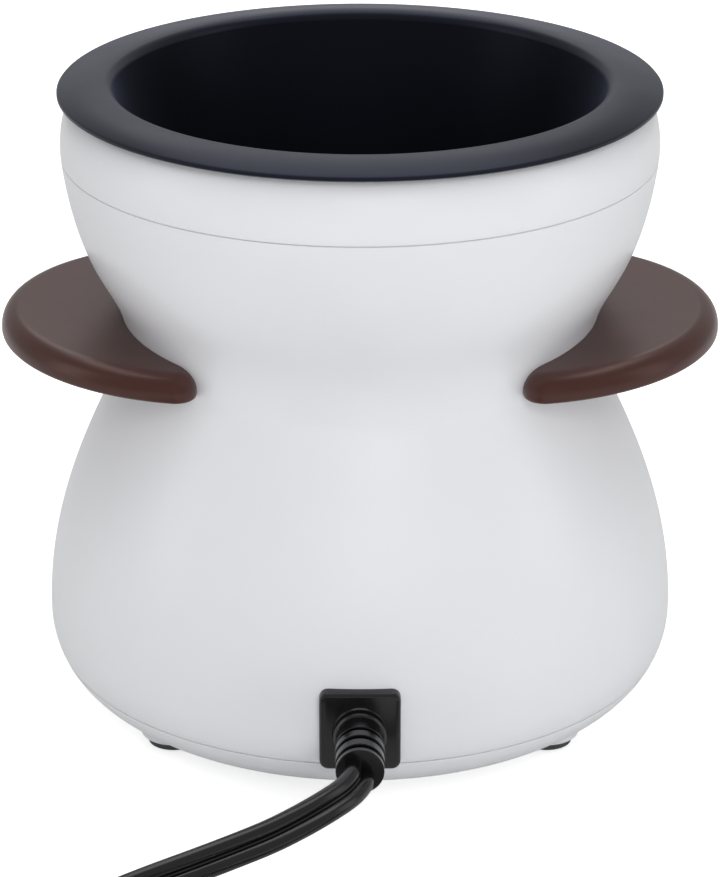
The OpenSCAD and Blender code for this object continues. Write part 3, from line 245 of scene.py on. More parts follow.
# Glass of the neon lamp.
CLEAR_GLASS = Finish("drawn_clear_glass", "#F3E4D6", "#F0DCCB", Surface.CLEAR, 0.05, 0.02, 1.52,
                     patch_mm=6, grain_mm=1.5, grain_height_mm=0.002, transmission=0.9)

# The finish of each material slot in the record.
SLOT_FINISH: dict[str, Finish] = {
    "white_plastic": WHITE_ABS, "brown_plastic": BROWN_PHENOLIC, "zinc_steel": ZINC_STEEL,
    "foot_rubber": FOOT_RUBBER, "spun_aluminium": SPUN_ALUMINIUM, "silicone": RED_SILICONE,
    "cast_aluminium": CAST_ALUMINIUM, "element_steel": HEATED_STEEL, "black_plastic": BLACK_NYLON,
    "fuse_ceramic": GLAZED_SLEEVE, "red_lens": RED_ACRYLIC, "neon_glass": CLEAR_GLASS, "nylon": MILKY_NYLON,
    "wire_sleeve": GLASS_SLEEVE, "cord_vinyl": BLACK_VINYL, "blade_brass": NICKEL_BRASS,
    "pot_coating": NON_STICK,
}


def bezier(points: Sequence[Point], steps: int, start: float = 0.0, end: float = 1.0) -> list[Point]:
    """Points along a cubic curve.

    Args:
        points: Its four control points.
        steps: Number of steps.
        start: Share of the curve where the points begin.
        end: Share of the curve where they end.

    Returns:
        One point more than the steps.
    """
    made = []
    for i in range(steps + 1):
        t = start + (end - start) * i / steps
        weights = ((1 - t) ** 3, 3 * t * (1 - t) ** 2, 3 * t * t * (1 - t), t**3)
        made.append((sum(w * p[0] for w, p in zip(weights, points)),
                     sum(w * p[1] for w, p in zip(weights, points))))
    return made


def inset(points: Sequence[Point], depth: float) -> list[Point]:
    """Moves an outline that climbs on the right of the axis inwards.

    Args:
        points: Radius and height pairs, from the bottom up.
        depth: How far they move, in millimetres.

    Returns:
        The moved outline.
    """
    moved = []
    for i, (r, z) in enumerate(points):
        before, after = points[max(i - 1, 0)], points[min(i + 1, len(points) - 1)]
        along = Vector((after[0] - before[0], after[1] - before[1])).normalized()
        moved.append((r - depth * along.y, z + depth * along.x))
    return moved


def radius_at(points: Sequence[Point], z: float) -> float:
    """Radius of an outline at a height.

    Args:
        points: Radius and height pairs, from the bottom up.
        z: The height.

    Returns:
        The radius there.
    """
    for (r0, z0), (r1, z1) in zip(points, points[1:]):
        if z0 <= z <= z1:
            return r0 + (r1 - r0) * (z - z0) / max(z1 - z0, 1e-9)
    return points[0][0] if z < points[0][1] else points[-1][0]


def arc(centre: Point, radius: float, start: float, end: float, steps: int) -> list[Point]:
    """Points along an arc.

    Args:
        centre: Its middle.
        radius: Its radius.
        start: The angle where it begins, in degrees.
        end: The angle where it ends, in degrees.
        steps: Number of steps.

    Returns:
        One point more than the steps.
    """
    angles = [math.radians(start + (end - start) * i / steps) for i in range(steps + 1)]
    return [(centre[0] + radius * math.cos(a), centre[1] + radius * math.sin(a)) for a in angles]


def turned(section: Sequence[Point], segments: int) -> Mesh:
    """A solid of revolution about Z under a closed section.

    Args:
        section: Radius and height pairs, in order round the section.
        segments: Number of steps round the axis.

    Returns:
        Points in millimetres, and faces.
    """
    points: list[Vector] = []
    rows: list[list[int]] = []
    for r, z in section:
        if r < 1e-6:
            rows.append([len(points)] * segments)
            points.append(Vector((0, 0, z)))
            continue
        rows.append(list(range(len(points), len(points) + segments)))
        for k in range(segments):
            a = 2 * math.pi * k / segments
            points.append(Vector((r * math.cos(a), r * math.sin(a), z)))
    faces = []
    for low, high in zip(rows, rows[1:] + rows[:1]):
        for k in range(segments):
            q = (k + 1) % segments
            corners = list(dict.fromkeys([low[k], low[q], high[q], high[k]]))
            if len(corners) > 2:
                faces.append(corners)
    return points, faces


def loft(loops: Sequence[Sequence[Vector]], capped: bool = True) -> Mesh:
    """A skin over loops of equal numbers of points.

    Args:
        loops: The loops, in order.
        capped: Whether the first and last loop are closed with a face.

    Returns:
        Points in millimetres, and faces.
    """
    count = len(loops[0])
    points = [p for loop in loops for p in loop]
    faces = [[i * count + k, i * count + (k + 1) % count,
              (i + 1) * count + (k + 1) % count, (i + 1) * count + k]
             for i in range(len(loops) - 1) for k in range(count)]
    if capped:
        faces += [list(range(count))[::-1], [(len(loops) - 1) * count + k for k in range(count)]]
    return points, faces


def rounded_rectangle(width: float, height: float, corner: float, steps: int = 6) -> list[Point]:
    """The outline of a rectangle with round corners.

    Args:
        width: Its width.
        height: Its height.
        corner: The radius of its corners.
        steps: Number of steps in each corner.

    Returns:
        Its points, anticlockwise about its middle.
    """
    made: list[Point] = []
    for sx, sy, start in ((1, 1, 0), (-1, 1, 90), (-1, -1, 180), (1, -1, 270)):
        made += arc((sx * (width / 2 - corner), sy * (height / 2 - corner)), corner, start, start + 90, steps)
    return made


def placed(mesh: Mesh, matrix: Matrix) -> Mesh:
    """The mesh moved by a matrix."""
    return [matrix @ p for p in mesh[0]], mesh[1]


def together(meshes: Sequence[Mesh]) -> Mesh:
    """Joins several meshes without merging their points.

    Args:
        meshes: The meshes.

    Returns:
        Points in millimetres, and faces.
    """
    points: list[Vector] = []
    faces: list[list[int]] = []
    for some, polygons in meshes:
        start = len(points)
        points += some
        faces += [[start + i for i in polygon] for polygon in polygons]
    return points, faces


def make_object(name: str, mesh: Mesh) -> bpy.types.Object:
    """Makes a mesh object, with its faces turned outwards.

    Args:
        name: The object's name.
        mesh: Its points in millimetres, and its faces.

    Returns:
        The object, in metres.
    """
    data = bpy.data.meshes.new(name)
    data.from_pydata([p * MM for p in mesh[0]], [], mesh[1])
    shape = bmesh.new()
    shape.from_mesh(data)
    bmesh.ops.remove_doubles(shape, verts=shape.verts, dist=1e-7)
    bmesh.ops.recalc_face_normals(shape, faces=shape.faces)
    shape.to_mesh(data)
    shape.free()
    obj = bpy.data.objects.new(name, data)
    bpy.context.scene.collection.objects.link(obj)
    return obj


class Operation(Enum):
    """What is done with the other solid."""

    CUT = "DIFFERENCE"
    FUSE = "UNION"


def combine(obj: bpy.types.Object, mesh: Mesh, operation: Operation = Operation.CUT) -> None:
    """Cuts another solid out of an object, or fuses the two.

    Args:
        obj: The object that changes.
        mesh: The other solid.
        operation: Whether the other solid is cut out or fused on.
    """
    tool = make_object("cutting_tool", mesh)
    change = obj.modifiers.new("combine", "BOOLEAN")
    change.operation, change.solver, change.object = operation.value, "EXACT", tool
    bpy.context.view_layer.update()
    evaluated = obj.evaluated_get(bpy.context.evaluated_depsgraph_get())
    result = bpy.data.meshes.new_from_object(evaluated)
    obj.modifiers.clear()
    old, obj.data = obj.data, result
    bpy.data.meshes.remove(old)
    bpy.data.objects.remove(tool)


def dress(obj: bpy.types.Object, slot: str, body: str, nodes: Sequence[str] = (),
          sharp: float = 32.0) -> None:
    """Gives a piece its finish, its smooth shading and its body.

    Args:
        obj: The piece.
        slot: The record's material slot.
        body: The CAD body that it rides on.
        nodes: The CAD nodes that it stands for.
        sharp: Angle in degrees from which an edge stays sharp.
    """
    obj.data.materials.clear()
    obj.data.materials.append(SLOT_FINISH[slot].material())
    obj.data.shade_smooth()
    obj.data.set_sharp_from_angle(angle=math.radians(sharp))
    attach(obj, body)
    if nodes:
        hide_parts(*nodes)
    LOG.info("%s rides on %s, in %s", obj.name, body, SLOT_FINISH[slot].name)


@dataclass(frozen=True)
class Outline:
    """The housing's profile, from the flat underside to the crown of the top ring."""

    belly_r: float = 73.7
    belly_z: float = 24.0
    belly_pull: float = 33.0
    under_pull: float = 12.0
    under_reach: float = 14.0
    dish_flat_r: float = 50.0
    dish_z: float = 4.6
    waist_r: float = 54.0
    waist_z: float = 89.4
    waist_pull_down: float = 7.5
    waist_pull_up: float = 18.0
    seam_r: float = 67.6
    seam_z: float = 135.0
    seam_pull: float = 31.0
    bell_lean_share: float = 0.12
    crease_share: float = 0.235
    wall_t: float = 2.4
    gap: float = 0.16
    ring_h: float = 15.2
    ring_bulge: float = 0.4
    ring_pull: float = 9.2
    crown_r: float = 59.5
    crown_pull: float = 6.0
    crown_drop: float = 0.9
    edge_r: float = 0.3
    edge_share: float = 0.3

    def under(self, steps: int, start: float, end: float) -> list[Point]:
        """The curve from the widest point down to the flat underside.

        Args:
            steps: Number of steps.
            start: Share of the curve where the points begin.
            end: Share of the curve where they end.

        Returns:
            Radius and height pairs, from the top down.
        """
        return bezier([(self.belly_r, self.belly_z), (self.belly_r, self.belly_z - self.under_pull),
                       (self.dish_flat_r + self.under_reach, self.dish_z), (self.dish_flat_r, self.dish_z)],
                      steps, start, end)

    def shell(self) -> list[Point]:
        """The housing's outside, from the parting line up to the seam.

        Returns:
            Radius and height pairs, from the bottom up.
        """
        belly = bezier([(self.belly_r, self.belly_z), (self.belly_r, self.belly_z + self.belly_pull),
                        (self.waist_r, self.waist_z - self.waist_pull_down),
                        (self.waist_r, self.waist_z)], 60)
        bell = bezier([(self.waist_r, self.waist_z), (self.waist_r, self.waist_z + self.waist_pull_up),
                       (self.seam_r - self.bell_lean_share * self.seam_pull, self.seam_z - self.seam_pull),
                       (self.seam_r, self.seam_z)], 48)
        return self.under(8, 0, self.crease_share)[::-1] + belly[1:] + bell[1:]

    def ring(self) -> list[Point]:
        """The top ring's outside, from the seam up to the crown.

        Returns:
            Radius and height pairs, from the bottom up.
        """
        low, top = self.seam_z + self.gap, self.seam_z + self.ring_h
        return bezier([(self.seam_r, low), (self.seam_r + self.ring_bulge, low + self.ring_pull),
                       (self.crown_r + self.crown_pull, top - self.crown_drop), (self.crown_r, top)], 36)

    def softened(self, points: Sequence[Point], foot: bool, head: bool) -> list[Point]:
        """The outline with a small round at its lower or upper end.

        Args:
            points: Radius and height pairs, from the bottom up.
            foot: Whether the lower end is rounded.
            head: Whether the upper end is rounded.

        Returns:
            The rounded outline.
        """
        e = self.edge_r
        part = e * self.edge_share
        made = list(points)
        if foot:
            r, z = made[0]
            made = [(r - e, z), (r - part, z + part)] + [p for p in made if p[1] > z + e]
        if head:
            r, z = made[-1]
            made = [p for p in made if p[1] < z - e] + [(r - part, z - part), (r - e, z)]
        return made


OUTLINE = Outline()


@dataclass(frozen=True)
class Softbox:
    """A soft lamp, with its place and size in millimetres and its power in watts."""

    name: str
    place: Sequence[float]
    width: float
    height: float
    power: float
    mirrored: bool = True

    def hang(self, aim: Vector) -> None:
        """Adds the lamp to the scene.

        Args:
            aim: The point that it faces, in metres.
        """
        data = bpy.data.lights.new(self.name, "AREA")
        data.shape, data.energy = "RECTANGLE", self.power
        data.size, data.size_y = self.width * MM, self.height * MM
        obj = bpy.data.objects.new(self.name, data)
        obj.location = Vector(self.place) * MM
        obj.rotation_euler = (aim - obj.location).to_track_quat("-Z", "Y").to_euler()
        obj.visible_glossy = self.mirrored
        bpy.context.scene.collection.objects.link(obj)


@dataclass
class Studio:
    """The camera, the lights, the world and the floor."""

    camera_distance: float = 680.0
    camera_height: float = 351.4
    aim_height: float = 63.66
    focal_length: float = 128.82
    sensor_width: float = 36.0
    lamp_aim_height: float = 80.0
    # The lamp over the camera stays out of reflections, which are dark in the photograph.
    softboxes: Sequence[Softbox] = (
        Softbox("overhead_softbox", (0, -300, 1500), 1400, 1100, 8),
        Softbox("camera_softbox", (-250, 1500, 750), 900, 900, 11.3, False),
        Softbox("left_softbox", (1300, 300, 500), 500, 1100, 1.6),
        Softbox("right_softbox", (-1300, 300, 500), 500, 1100, 1.2),
        Softbox("front_softbox", (100, -1300, 1250), 1100, 800, 3))
    world_level: float = 0.46
    floor_half: float = 3000.0
    floor_z: float = -0.02
    floor_colour: str = "#E6E6E6"
    floor_glow: float = 0.66

    def camera(self) -> None:
        """Sets the camera at the photograph's viewing angle, behind the pot."""
        data = bpy.data.cameras.new("camera")
        data.lens, data.sensor_width = self.focal_length, self.sensor_width
        data.clip_start, data.clip_end = 0.01, 20.0
        eye = Vector((0, self.camera_distance, self.camera_height)) * MM
        aim = Vector((0, 0, self.aim_height)) * MM
        obj = bpy.data.objects.new("camera", data)
        obj.location = eye
        obj.rotation_euler = (aim - eye).to_track_quat("-Z", "Y").to_euler()
        bpy.context.scene.collection.objects.link(obj)
        bpy.context.scene.camera = obj

    def lights(self) -> None:
        """Hangs a lamp overhead, one over the camera, one on each side and one before the knob."""
        for softbox in self.softboxes:
            softbox.hang(Vector((0, 0, self.lamp_aim_height * MM)))

    @staticmethod
    def seen(tree: bpy.types.NodeTree) -> bpy.types.NodeSocket:
        """Tells the rays that show the backdrop from those that only carry its light.

        Args:
            tree: The tree of the world or of the floor's material.

        Returns:
            A socket that is 1 for rays from the camera or through glass, and 0 for the rest.
        """
        path = add_node(tree, "ShaderNodeLightPath")
        either = add_node(tree, "ShaderNodeMath", {0: path.outputs["Is Camera Ray"],
                          1: path.outputs["Is Transmission Ray"]}, operation="MAXIMUM")
        return either.outputs[0]

    def world(self) -> None:
        """Makes the world white to the camera and dimmer to everything that it lights."""
        world = bpy.data.worlds.new("studio")
        bpy.context.scene.world = world
        world.use_nodes = True
        tree = world.node_tree
        tree.nodes.clear()
        level = add_node(tree, "ShaderNodeMapRange", {"Value": self.seen(tree), "To Min": self.world_level,
                                                      "To Max": 1.0})
        sky = add_node(tree, "ShaderNodeBackground", {"Color": linear("#FFFFFF"),
                       "Strength": level.outputs[0]})
        add_node(tree, "ShaderNodeOutputWorld", {"Surface": sky.outputs[0]})

    def floor(self) -> None:
        """Lays the pale floor, which glows to the camera and keeps the pot's shadow."""
        paper = bpy.data.materials.new("white_paper_sweep")
        paper.use_nodes = True
        tree = paper.node_tree
        tree.nodes.clear()
        glow = add_node(tree, "ShaderNodeMath", {0: self.seen(tree), 1: self.floor_glow},
                        operation="MULTIPLY")
        diffuse = add_node(tree, "ShaderNodeBsdfDiffuse", {"Color": linear(self.floor_colour)})
        light = add_node(tree, "ShaderNodeEmission", {"Color": linear("#FFFFFF"),
                         "Strength": glow.outputs[0]})
        both = add_node(tree, "ShaderNodeAddShader", {0: diffuse.outputs[0], 1: light.outputs[0]})
        add_node(tree, "ShaderNodeOutputMaterial", {"Surface": both.outputs[0]})
        h, z = self.floor_half, self.floor_z
        corners = [Vector((-h, -h, z)), Vector((h, -h, z)), Vector((h, h, z)), Vector((-h, h, z))]
        floor = make_object("floor", (corners, [[0, 1, 2, 3]]))
        floor.data.materials.append(paper)

    def backdrop(self) -> None:
        """Makes the world and the floor."""
        self.world()
        self.floor()


@dataclass
class MainsLead:
    """The flat two-core lead: free from the strain relief, coiled, and free again to its plug."""

    width: float = 7.2
    thickness: float = 3.6
    groove: float = 1.05
    lobe_steps: int = 18
    rib_depth: float = 0.08
    lead: Sequence[Sequence[float]] = (
        (0, 93, 26), (0.4, 96.5, 26), (2.6, 101, 25.6), (6.5, 105.2, 24.9), (12, 109.4, 23.6),
        (18.5, 113, 21.9), (26, 116, 20.1), (34, 118.6, 18.1), (43, 121.2, 15.8), (53, 124.2, 13.0),
        (63, 127.6, 10.2), (73, 131.8, 7.6), (82.5, 137.4, 5.3), (91, 144.6, 4.8), (98, 153.6, 4.7),
        (102.6, 163.6, 4.7), (104.5, 171, 4.7), (104.8, 178, 4.7))
    tail: Sequence[Sequence[float]] = (
        (19.2, 178, 12.5), (19.2, 171, 12.2), (18.6, 163, 10.8), (16.4, 154, 8.6), (11.6, 145, 6.4),
        (4, 137.4, 4.6), (-5.4, 132.2, 3.4), (-15, 129.2, 3.4), (-23, 128.2, 4.8), (-30, 128, 6.1),
        (-37, 128, 6.2))
    lead_roll: Point = (38.0, 90.0)
    tail_roll: Point = (90.0, 0.0)
    coil_centre: Point = (62.0, 178.0)
    coil_z: float = 4.7
    coil_r: float = 42.8
    turns: float = 2.5
    pitch: float = 5.5
    layer: float = 7.8
    climb: float = 0.13
    steps_a_turn: int = 48
    steps_a_point: int = 5

    def section(self) -> list[Point]:
        """The lead's section: two round cores joined side by side, one of them finely ribbed.

        Returns:
            Its points, anticlockwise about its middle.
        """
        r = self.thickness / 2
        offset = self.width / 2 - r
        opening = math.degrees(math.asin((r - self.groove) / r))
        steps = self.lobe_steps
        made: list[Point] = []
        for side, start in ((1, -180 + opening), (-1, opening)):
            for i in range(steps + 1):
                a = math.radians(start + (360 - 2 * opening) * i / steps)
                rib = self.rib_depth if side < 0 and i % 2 and 2 < i < steps - 2 else 0.0
                made.append((side * offset + (r - rib) * math.cos(a), (r - rib) * math.sin(a)))
        return made

    @staticmethod
    def smoothed(points: Sequence[Sequence[float]], steps: int) -> list[Vector]:
        """A smooth curve through the points.

        Args:
            points: The points.
            steps: Number of steps from each point to the next.

        Returns:
            The curve's points, the last one among them.
        """
        p = [Vector(q) for q in points]
        made = []
        for i in range(len(p) - 1):
            a, b, c, d = p[max(i - 1, 0)], p[i], p[i + 1], p[min(i + 2, len(p) - 1)]
            for k in range(steps):
                t = k / steps
                made.append(0.5 * (2 * b + (c - a) * t + (2 * a - 5 * b + 4 * c - d) * t * t
                                   + (3 * b - a - 3 * c + d) * t**3))
        return made + [p[-1]]

    def strand(self, turn: float) -> Point:
        """Radius and height of the coil after a number of turns."""
        s = max(0.0, min(1.0, (turn - self.turns / 2 + self.climb) / (2 * self.climb)))
        return (self.coil_r - self.pitch * min(turn, self.turns - turn),
                self.coil_z + self.layer * s * s * (3 - 2 * s))

    def coil(self) -> list[Vector]:
        """The coil's line: inwards on the lower layer, outwards on the upper one.

        Returns:
            Its points.
        """
        count = round(self.turns * self.steps_a_turn)
        x, y = self.coil_centre
        made = []
        for i in range(count + 1):
            turn = self.turns * i / count
            r, z = self.strand(turn)
            a = 2 * math.pi * turn
            made.append(Vector((x + r * math.cos(a), y + r * math.sin(a), z)))
        return made

    def route(self) -> tuple[list[Vector], list[float]]:
        """The whole line of the lead.

        Returns:
            Its points, and the roll of the flat section at each, in degrees.
        """
        lead = self.smoothed(self.lead, self.steps_a_point)
        coil = self.coil()
        tail = self.smoothed(self.tail, self.steps_a_point)
        rolls = [self.lead_roll[0] + (self.lead_roll[1] - self.lead_roll[0]) * i / (len(lead) - 1)
                 for i in range(len(lead))]
        rolls += [90.0] * (len(coil) - 1)
        rolls += [self.tail_roll[0] + (self.tail_roll[1] - self.tail_roll[0]) * i / (len(tail) - 1)
                  for i in range(1, len(tail))]
        return lead + coil[1:] + tail[1:], rolls

    def build(self) -> None:
        points, rolls = self.route()
        section = self.section()
        loops = []
        for i, (p, roll) in enumerate(zip(points, rolls)):
            along = (points[min(i + 1, len(points) - 1)] - points[max(i - 1, 0)]).normalized()
            side = along.cross(Vector((0, 0, 1))).normalized()
            up = side.cross(along)
            a = math.radians(roll)
            wide = side * math.cos(a) + up * math.sin(a)
            thick = along.cross(wide)
            loops.append([p + x * wide + y * thick for x, y in section])
        obj = make_object("mains_lead", loft(loops))
        dress(obj, "cord_vinyl", "base", ["cord_lead", "cord_coil", "cord_tail"], sharp=50)


@dataclass
class CoilBand:
    """The band drawn round the coil's strands, with an even gap to them."""

    lead: MainsLead = field(default_factory=MainsLead)
    angle: float = 45.0
    width: float = 6.0
    thickness: float = 0.8
    gap: float = 0.15
    edge: float = 0.2
    steps: int = 90

    def build(self) -> None:
        """Makes the band."""
        lobes: list[Point] = []
        reach = (self.lead.width - self.lead.thickness) / 2
        for turn in range(math.ceil(self.lead.turns)):
            r, z = self.lead.strand(turn + self.angle / 360)
            lobes += [(r, z - reach), (r, z + reach)]
        near, far, half, e = self.gap, self.gap + self.thickness, self.width / 2, self.edge
        section = [(near, e - half), (near + e, -half), (far - e, -half), (far, e - half), (far, half - e),
                   (far - e, half), (near + e, half), (near, half - e), (near, e - half)]
        loops = []
        for off, y in section:
            loop = []
            # The lobe that stands out furthest in each direction carries the band there.
            for step in range(self.steps):
                a = math.radians(360 / self.steps * step)
                c, s = math.cos(a), math.sin(a)
                r, z = max(lobes, key=lambda p: p[0] * c + p[1] * s)
                grown = self.lead.thickness / 2 + off
                loop.append(Vector((r + grown * c, y, z + grown * s)))
            loops.append(loop)
        turn = Matrix.Rotation(math.radians(self.angle), 4, "Z")
        lay = Matrix.Translation((*self.lead.coil_centre, 0)) @ turn
        obj = make_object("coil_band", placed(loft(loops, False), lay))
        dress(obj, "cord_vinyl", "base", ["coil_tie"], sharp=40)


@dataclass
class Housing:
    """The white mouldings: the shell, the ring, the base and the pod behind the knob."""

    outline: Outline = OUTLINE
    notch_w: float = 11.9
    notch_low: float = 10.0
    notch_top: float = 32.15
    notch_reach: Point = (60.0, 90.0)
    deck_t: float = 2.6
    deck_slope: float = 2.0
    ring_in_r: float = 57.1
    spigot_t: float = 1.6
    spigot_h: float = 6.0
    base_spigot_h: float = 3.0
    base_land: float = 5.0
    pod_r: float = 18.0
    pod_depth: float = 7.0
    pod_proud: float = 0.9
    pod_edge_r: float = 1.0
    knob_z: float = 40.0
    foot_pcr: float = 53.0
    foot_turn: float = 35.0
    boss_r: float = 7.6
    boss_z: float = 2.3
    boss_top: float = 16.0
    boss_edge: float = 0.4
    boss_steps: int = 48
    foot_bore_r: float = 6.1
    foot_sink: float = 2.0
    vent_count: int = 16
    vent_r0: float = 16.0
    vent_l: float = 20.0
    vent_w: float = 2.4
    vent_top: float = 9.0

    @staticmethod
    def block(low: Sequence[float], high: Sequence[float]) -> Mesh:
        """A rectangular block, used to cut.

        Args:
            low: Its corner with the least coordinates.
            high: Its corner with the greatest.

        Returns:
            Points in millimetres, and faces.
        """
        loops = [[Vector((low[0], low[1], z)), Vector((high[0], low[1], z)), Vector((high[0], high[1], z)),
                  Vector((low[0], high[1], z))] for z in (low[2], high[2])]
        return loft(loops)

    def shell(self) -> None:
        """Makes the waisted shell, with its notch for the strain relief."""
        o = self.outline
        outer = o.softened(o.shell(), True, True)
        inner = inset(o.shell(), o.wall_t)
        obj = make_object("housing_shell", turned(outer + inner[::-1], ROUND_STEPS))
        half, (near, far) = self.notch_w / 2, self.notch_reach
        combine(obj, self.block((-half, near, self.notch_low), (half, far, self.notch_top)))
        dress(obj, "white_plastic", "base", ["outer_shell"])

    def ring(self) -> None:
        """Makes the top ring with its deck and its locating spigot."""
        o = self.outline
        top = o.seam_z + o.ring_h
        deck = top - self.deck_t
        outer = o.softened(o.ring(), True, False)
        spigot_r = radius_at(inset(o.shell(), o.wall_t), o.seam_z - self.spigot_h) - o.gap
        low = o.seam_z + o.gap
        spigot_in_r, spigot_low = spigot_r - self.spigot_t, o.seam_z - self.spigot_h
        section = [(spigot_r, low)] + outer
        section += [(self.ring_in_r, top), (self.ring_in_r, deck), (spigot_r, deck)]
        section += [(spigot_in_r, deck - self.deck_slope), (spigot_in_r, spigot_low), (spigot_r, spigot_low)]
        obj = make_object("housing_top_ring", turned(section, ROUND_STEPS))
        dress(obj, "white_plastic", "base", ["top_ring"])

    def base(self) -> None:
        """Makes the dished base with its foot bosses and cooling slots."""
        o = self.outline
        under = o.under(36, o.crease_share, 1.0)[::-1]
        top_z = under[-1][1] - o.gap
        edge = (radius_at(under, top_z), top_z)
        outer = o.softened([p for p in under if p[1] < top_z] + [edge], False, True)
        inner = [p for p in inset(outer, o.wall_t) if p[0] < outer[-1][0] - self.base_land]
        rim = inset(o.shell(), o.wall_t)[0][0] - o.gap
        spigot_top = top_z + self.base_spigot_h
        section = [(0.0, o.dish_z)] + outer
        section += [(rim, top_z), (rim, spigot_top), (rim - self.spigot_t, spigot_top)]
        section += inner[::-1] + [(0.0, o.dish_z + o.wall_t)]
        obj = make_object("housing_base", turned(section, ROUND_STEPS))

        e, sink = self.boss_edge, self.boss_z + self.foot_sink
        boss = turned([(0, self.boss_z), (self.boss_r - e, self.boss_z), (self.boss_r, self.boss_z + e),
                       (self.boss_r, self.boss_top), (0, self.boss_top)], self.boss_steps)
        bore = turned([(0, 0), (self.foot_bore_r, 0), (self.foot_bore_r, sink), (0, sink)], self.boss_steps)
        corners = (self.foot_turn, 180 - self.foot_turn, 180 + self.foot_turn, -self.foot_turn)
        out = Matrix.Translation((self.foot_pcr, 0, 0))
        spots = [Matrix.Rotation(math.radians(a), 4, "Z") @ out for a in corners]
        combine(obj, together([placed(boss, m) for m in spots]), Operation.FUSE)
        combine(obj, together([placed(bore, m) for m in spots]))

        slot = self.block((self.vent_r0, -self.vent_w / 2, 0),
                          (self.vent_r0 + self.vent_l, self.vent_w / 2, self.vent_top))
        turns = [2 * math.pi * (k + 0.5) / self.vent_count for k in range(self.vent_count)]
        combine(obj, together([placed(slot, Matrix.Rotation(a, 4, "Z")) for a in turns]))
        dress(obj, "white_plastic", "base", ["base_cover"])

    def pod(self) -> None:
        """Makes the flat round pod behind the knob."""
        face = self.outline.belly_r + self.pod_proud
        back, e = face - self.pod_depth, self.pod_edge_r
        section = [(0, back), (self.pod_r, back)] + arc((self.pod_r - e, face - e), e, 0, 90, 6) + [(0, face)]
        lay = Matrix.Translation((0, 0, self.knob_z)) @ Matrix.Rotation(math.radians(90), 4, "X")
        dress(make_object("dial_pod", placed(turned(section, 96), lay)), "white_plastic", "base")

    def build(self) -> None:
        """Makes all the white mouldings."""
        self.shell()
        self.ring()
        self.base()
        self.pod()


@dataclass
class EarHandle:
    """One brown handle: a flat half disc with a rounded edge that grips the waist."""

    outline: Outline = OUTLINE
    reach: float = 82.6
    disc_r: float = 46.0
    chord_x: float = 35.8
    corner_r: float = 5.0
    thickness: float = 6.2
    top_round: float = 4.6
    low_round: float = 0.8
    rise: float = 5.2
    tilt: float = 2.5
    grip_gap: float = 0.1

    def rim(self, drawn_in: float) -> list[Point]:
        """The handle's plan, drawn in by some distance.

        Args:
            drawn_in: How far inside the full outline the loop lies.

        Returns:
            The loop, anticlockwise.
        """
        centre = self.reach - self.disc_r
        corner_x = self.chord_x + self.corner_r
        corner_y = math.sqrt((self.disc_r - self.corner_r) ** 2 - (corner_x - centre) ** 2)
        turn = math.degrees(math.atan2(corner_y, corner_x - centre))
        big = arc((centre, 0), self.disc_r - drawn_in, -turn, turn, 96)
        r = self.corner_r - drawn_in
        high = arc((corner_x, corner_y), r, turn, 180, 12)
        low = arc((corner_x, -corner_y), r, 180, 360 - turn, 12)
        return big + high[1:] + low[:-1]

    def build(self, name: str, node: str, side: float) -> None:
        """Makes one handle.

        Args:
            name: The piece's name.
            node: The CAD node that it stands for.
            side: 0 for the handle on +X, and 180 for the one on -X.
        """
        t, u, low = self.thickness, self.top_round, self.low_round
        lower = [math.radians(a) for a in range(0, 91, 30)]
        upper = [math.radians(a) for a in range(0, 91, 6)]
        levels = [(low - low * math.sin(a), low - low * math.cos(a)) for a in lower]
        levels += [(u - u * math.cos(a), t - u + u * math.sin(a)) for a in upper]
        loops = [[Vector((x, y, z)) for x, y in self.rim(drawn_in)] for drawn_in, z in levels]
        lift = Matrix.Translation((self.outline.waist_r, 0, self.outline.waist_z + self.rise))
        tilt = Matrix.Rotation(math.radians(-self.tilt), 4, "Y")
        back = Matrix.Translation((-self.outline.waist_r, 0, -t / 2))
        spin = Matrix.Rotation(math.radians(side), 4, "Z")
        obj = make_object(name, placed(loft(loops), spin @ lift @ tilt @ back))
        grown = inset(self.outline.shell(), -self.grip_gap)
        combine(obj, turned([(0, grown[0][1])] + grown + [(0, grown[-1][1])], ROUND_STEPS))
        dress(obj, "brown_plastic", "base", [node], sharp=40)


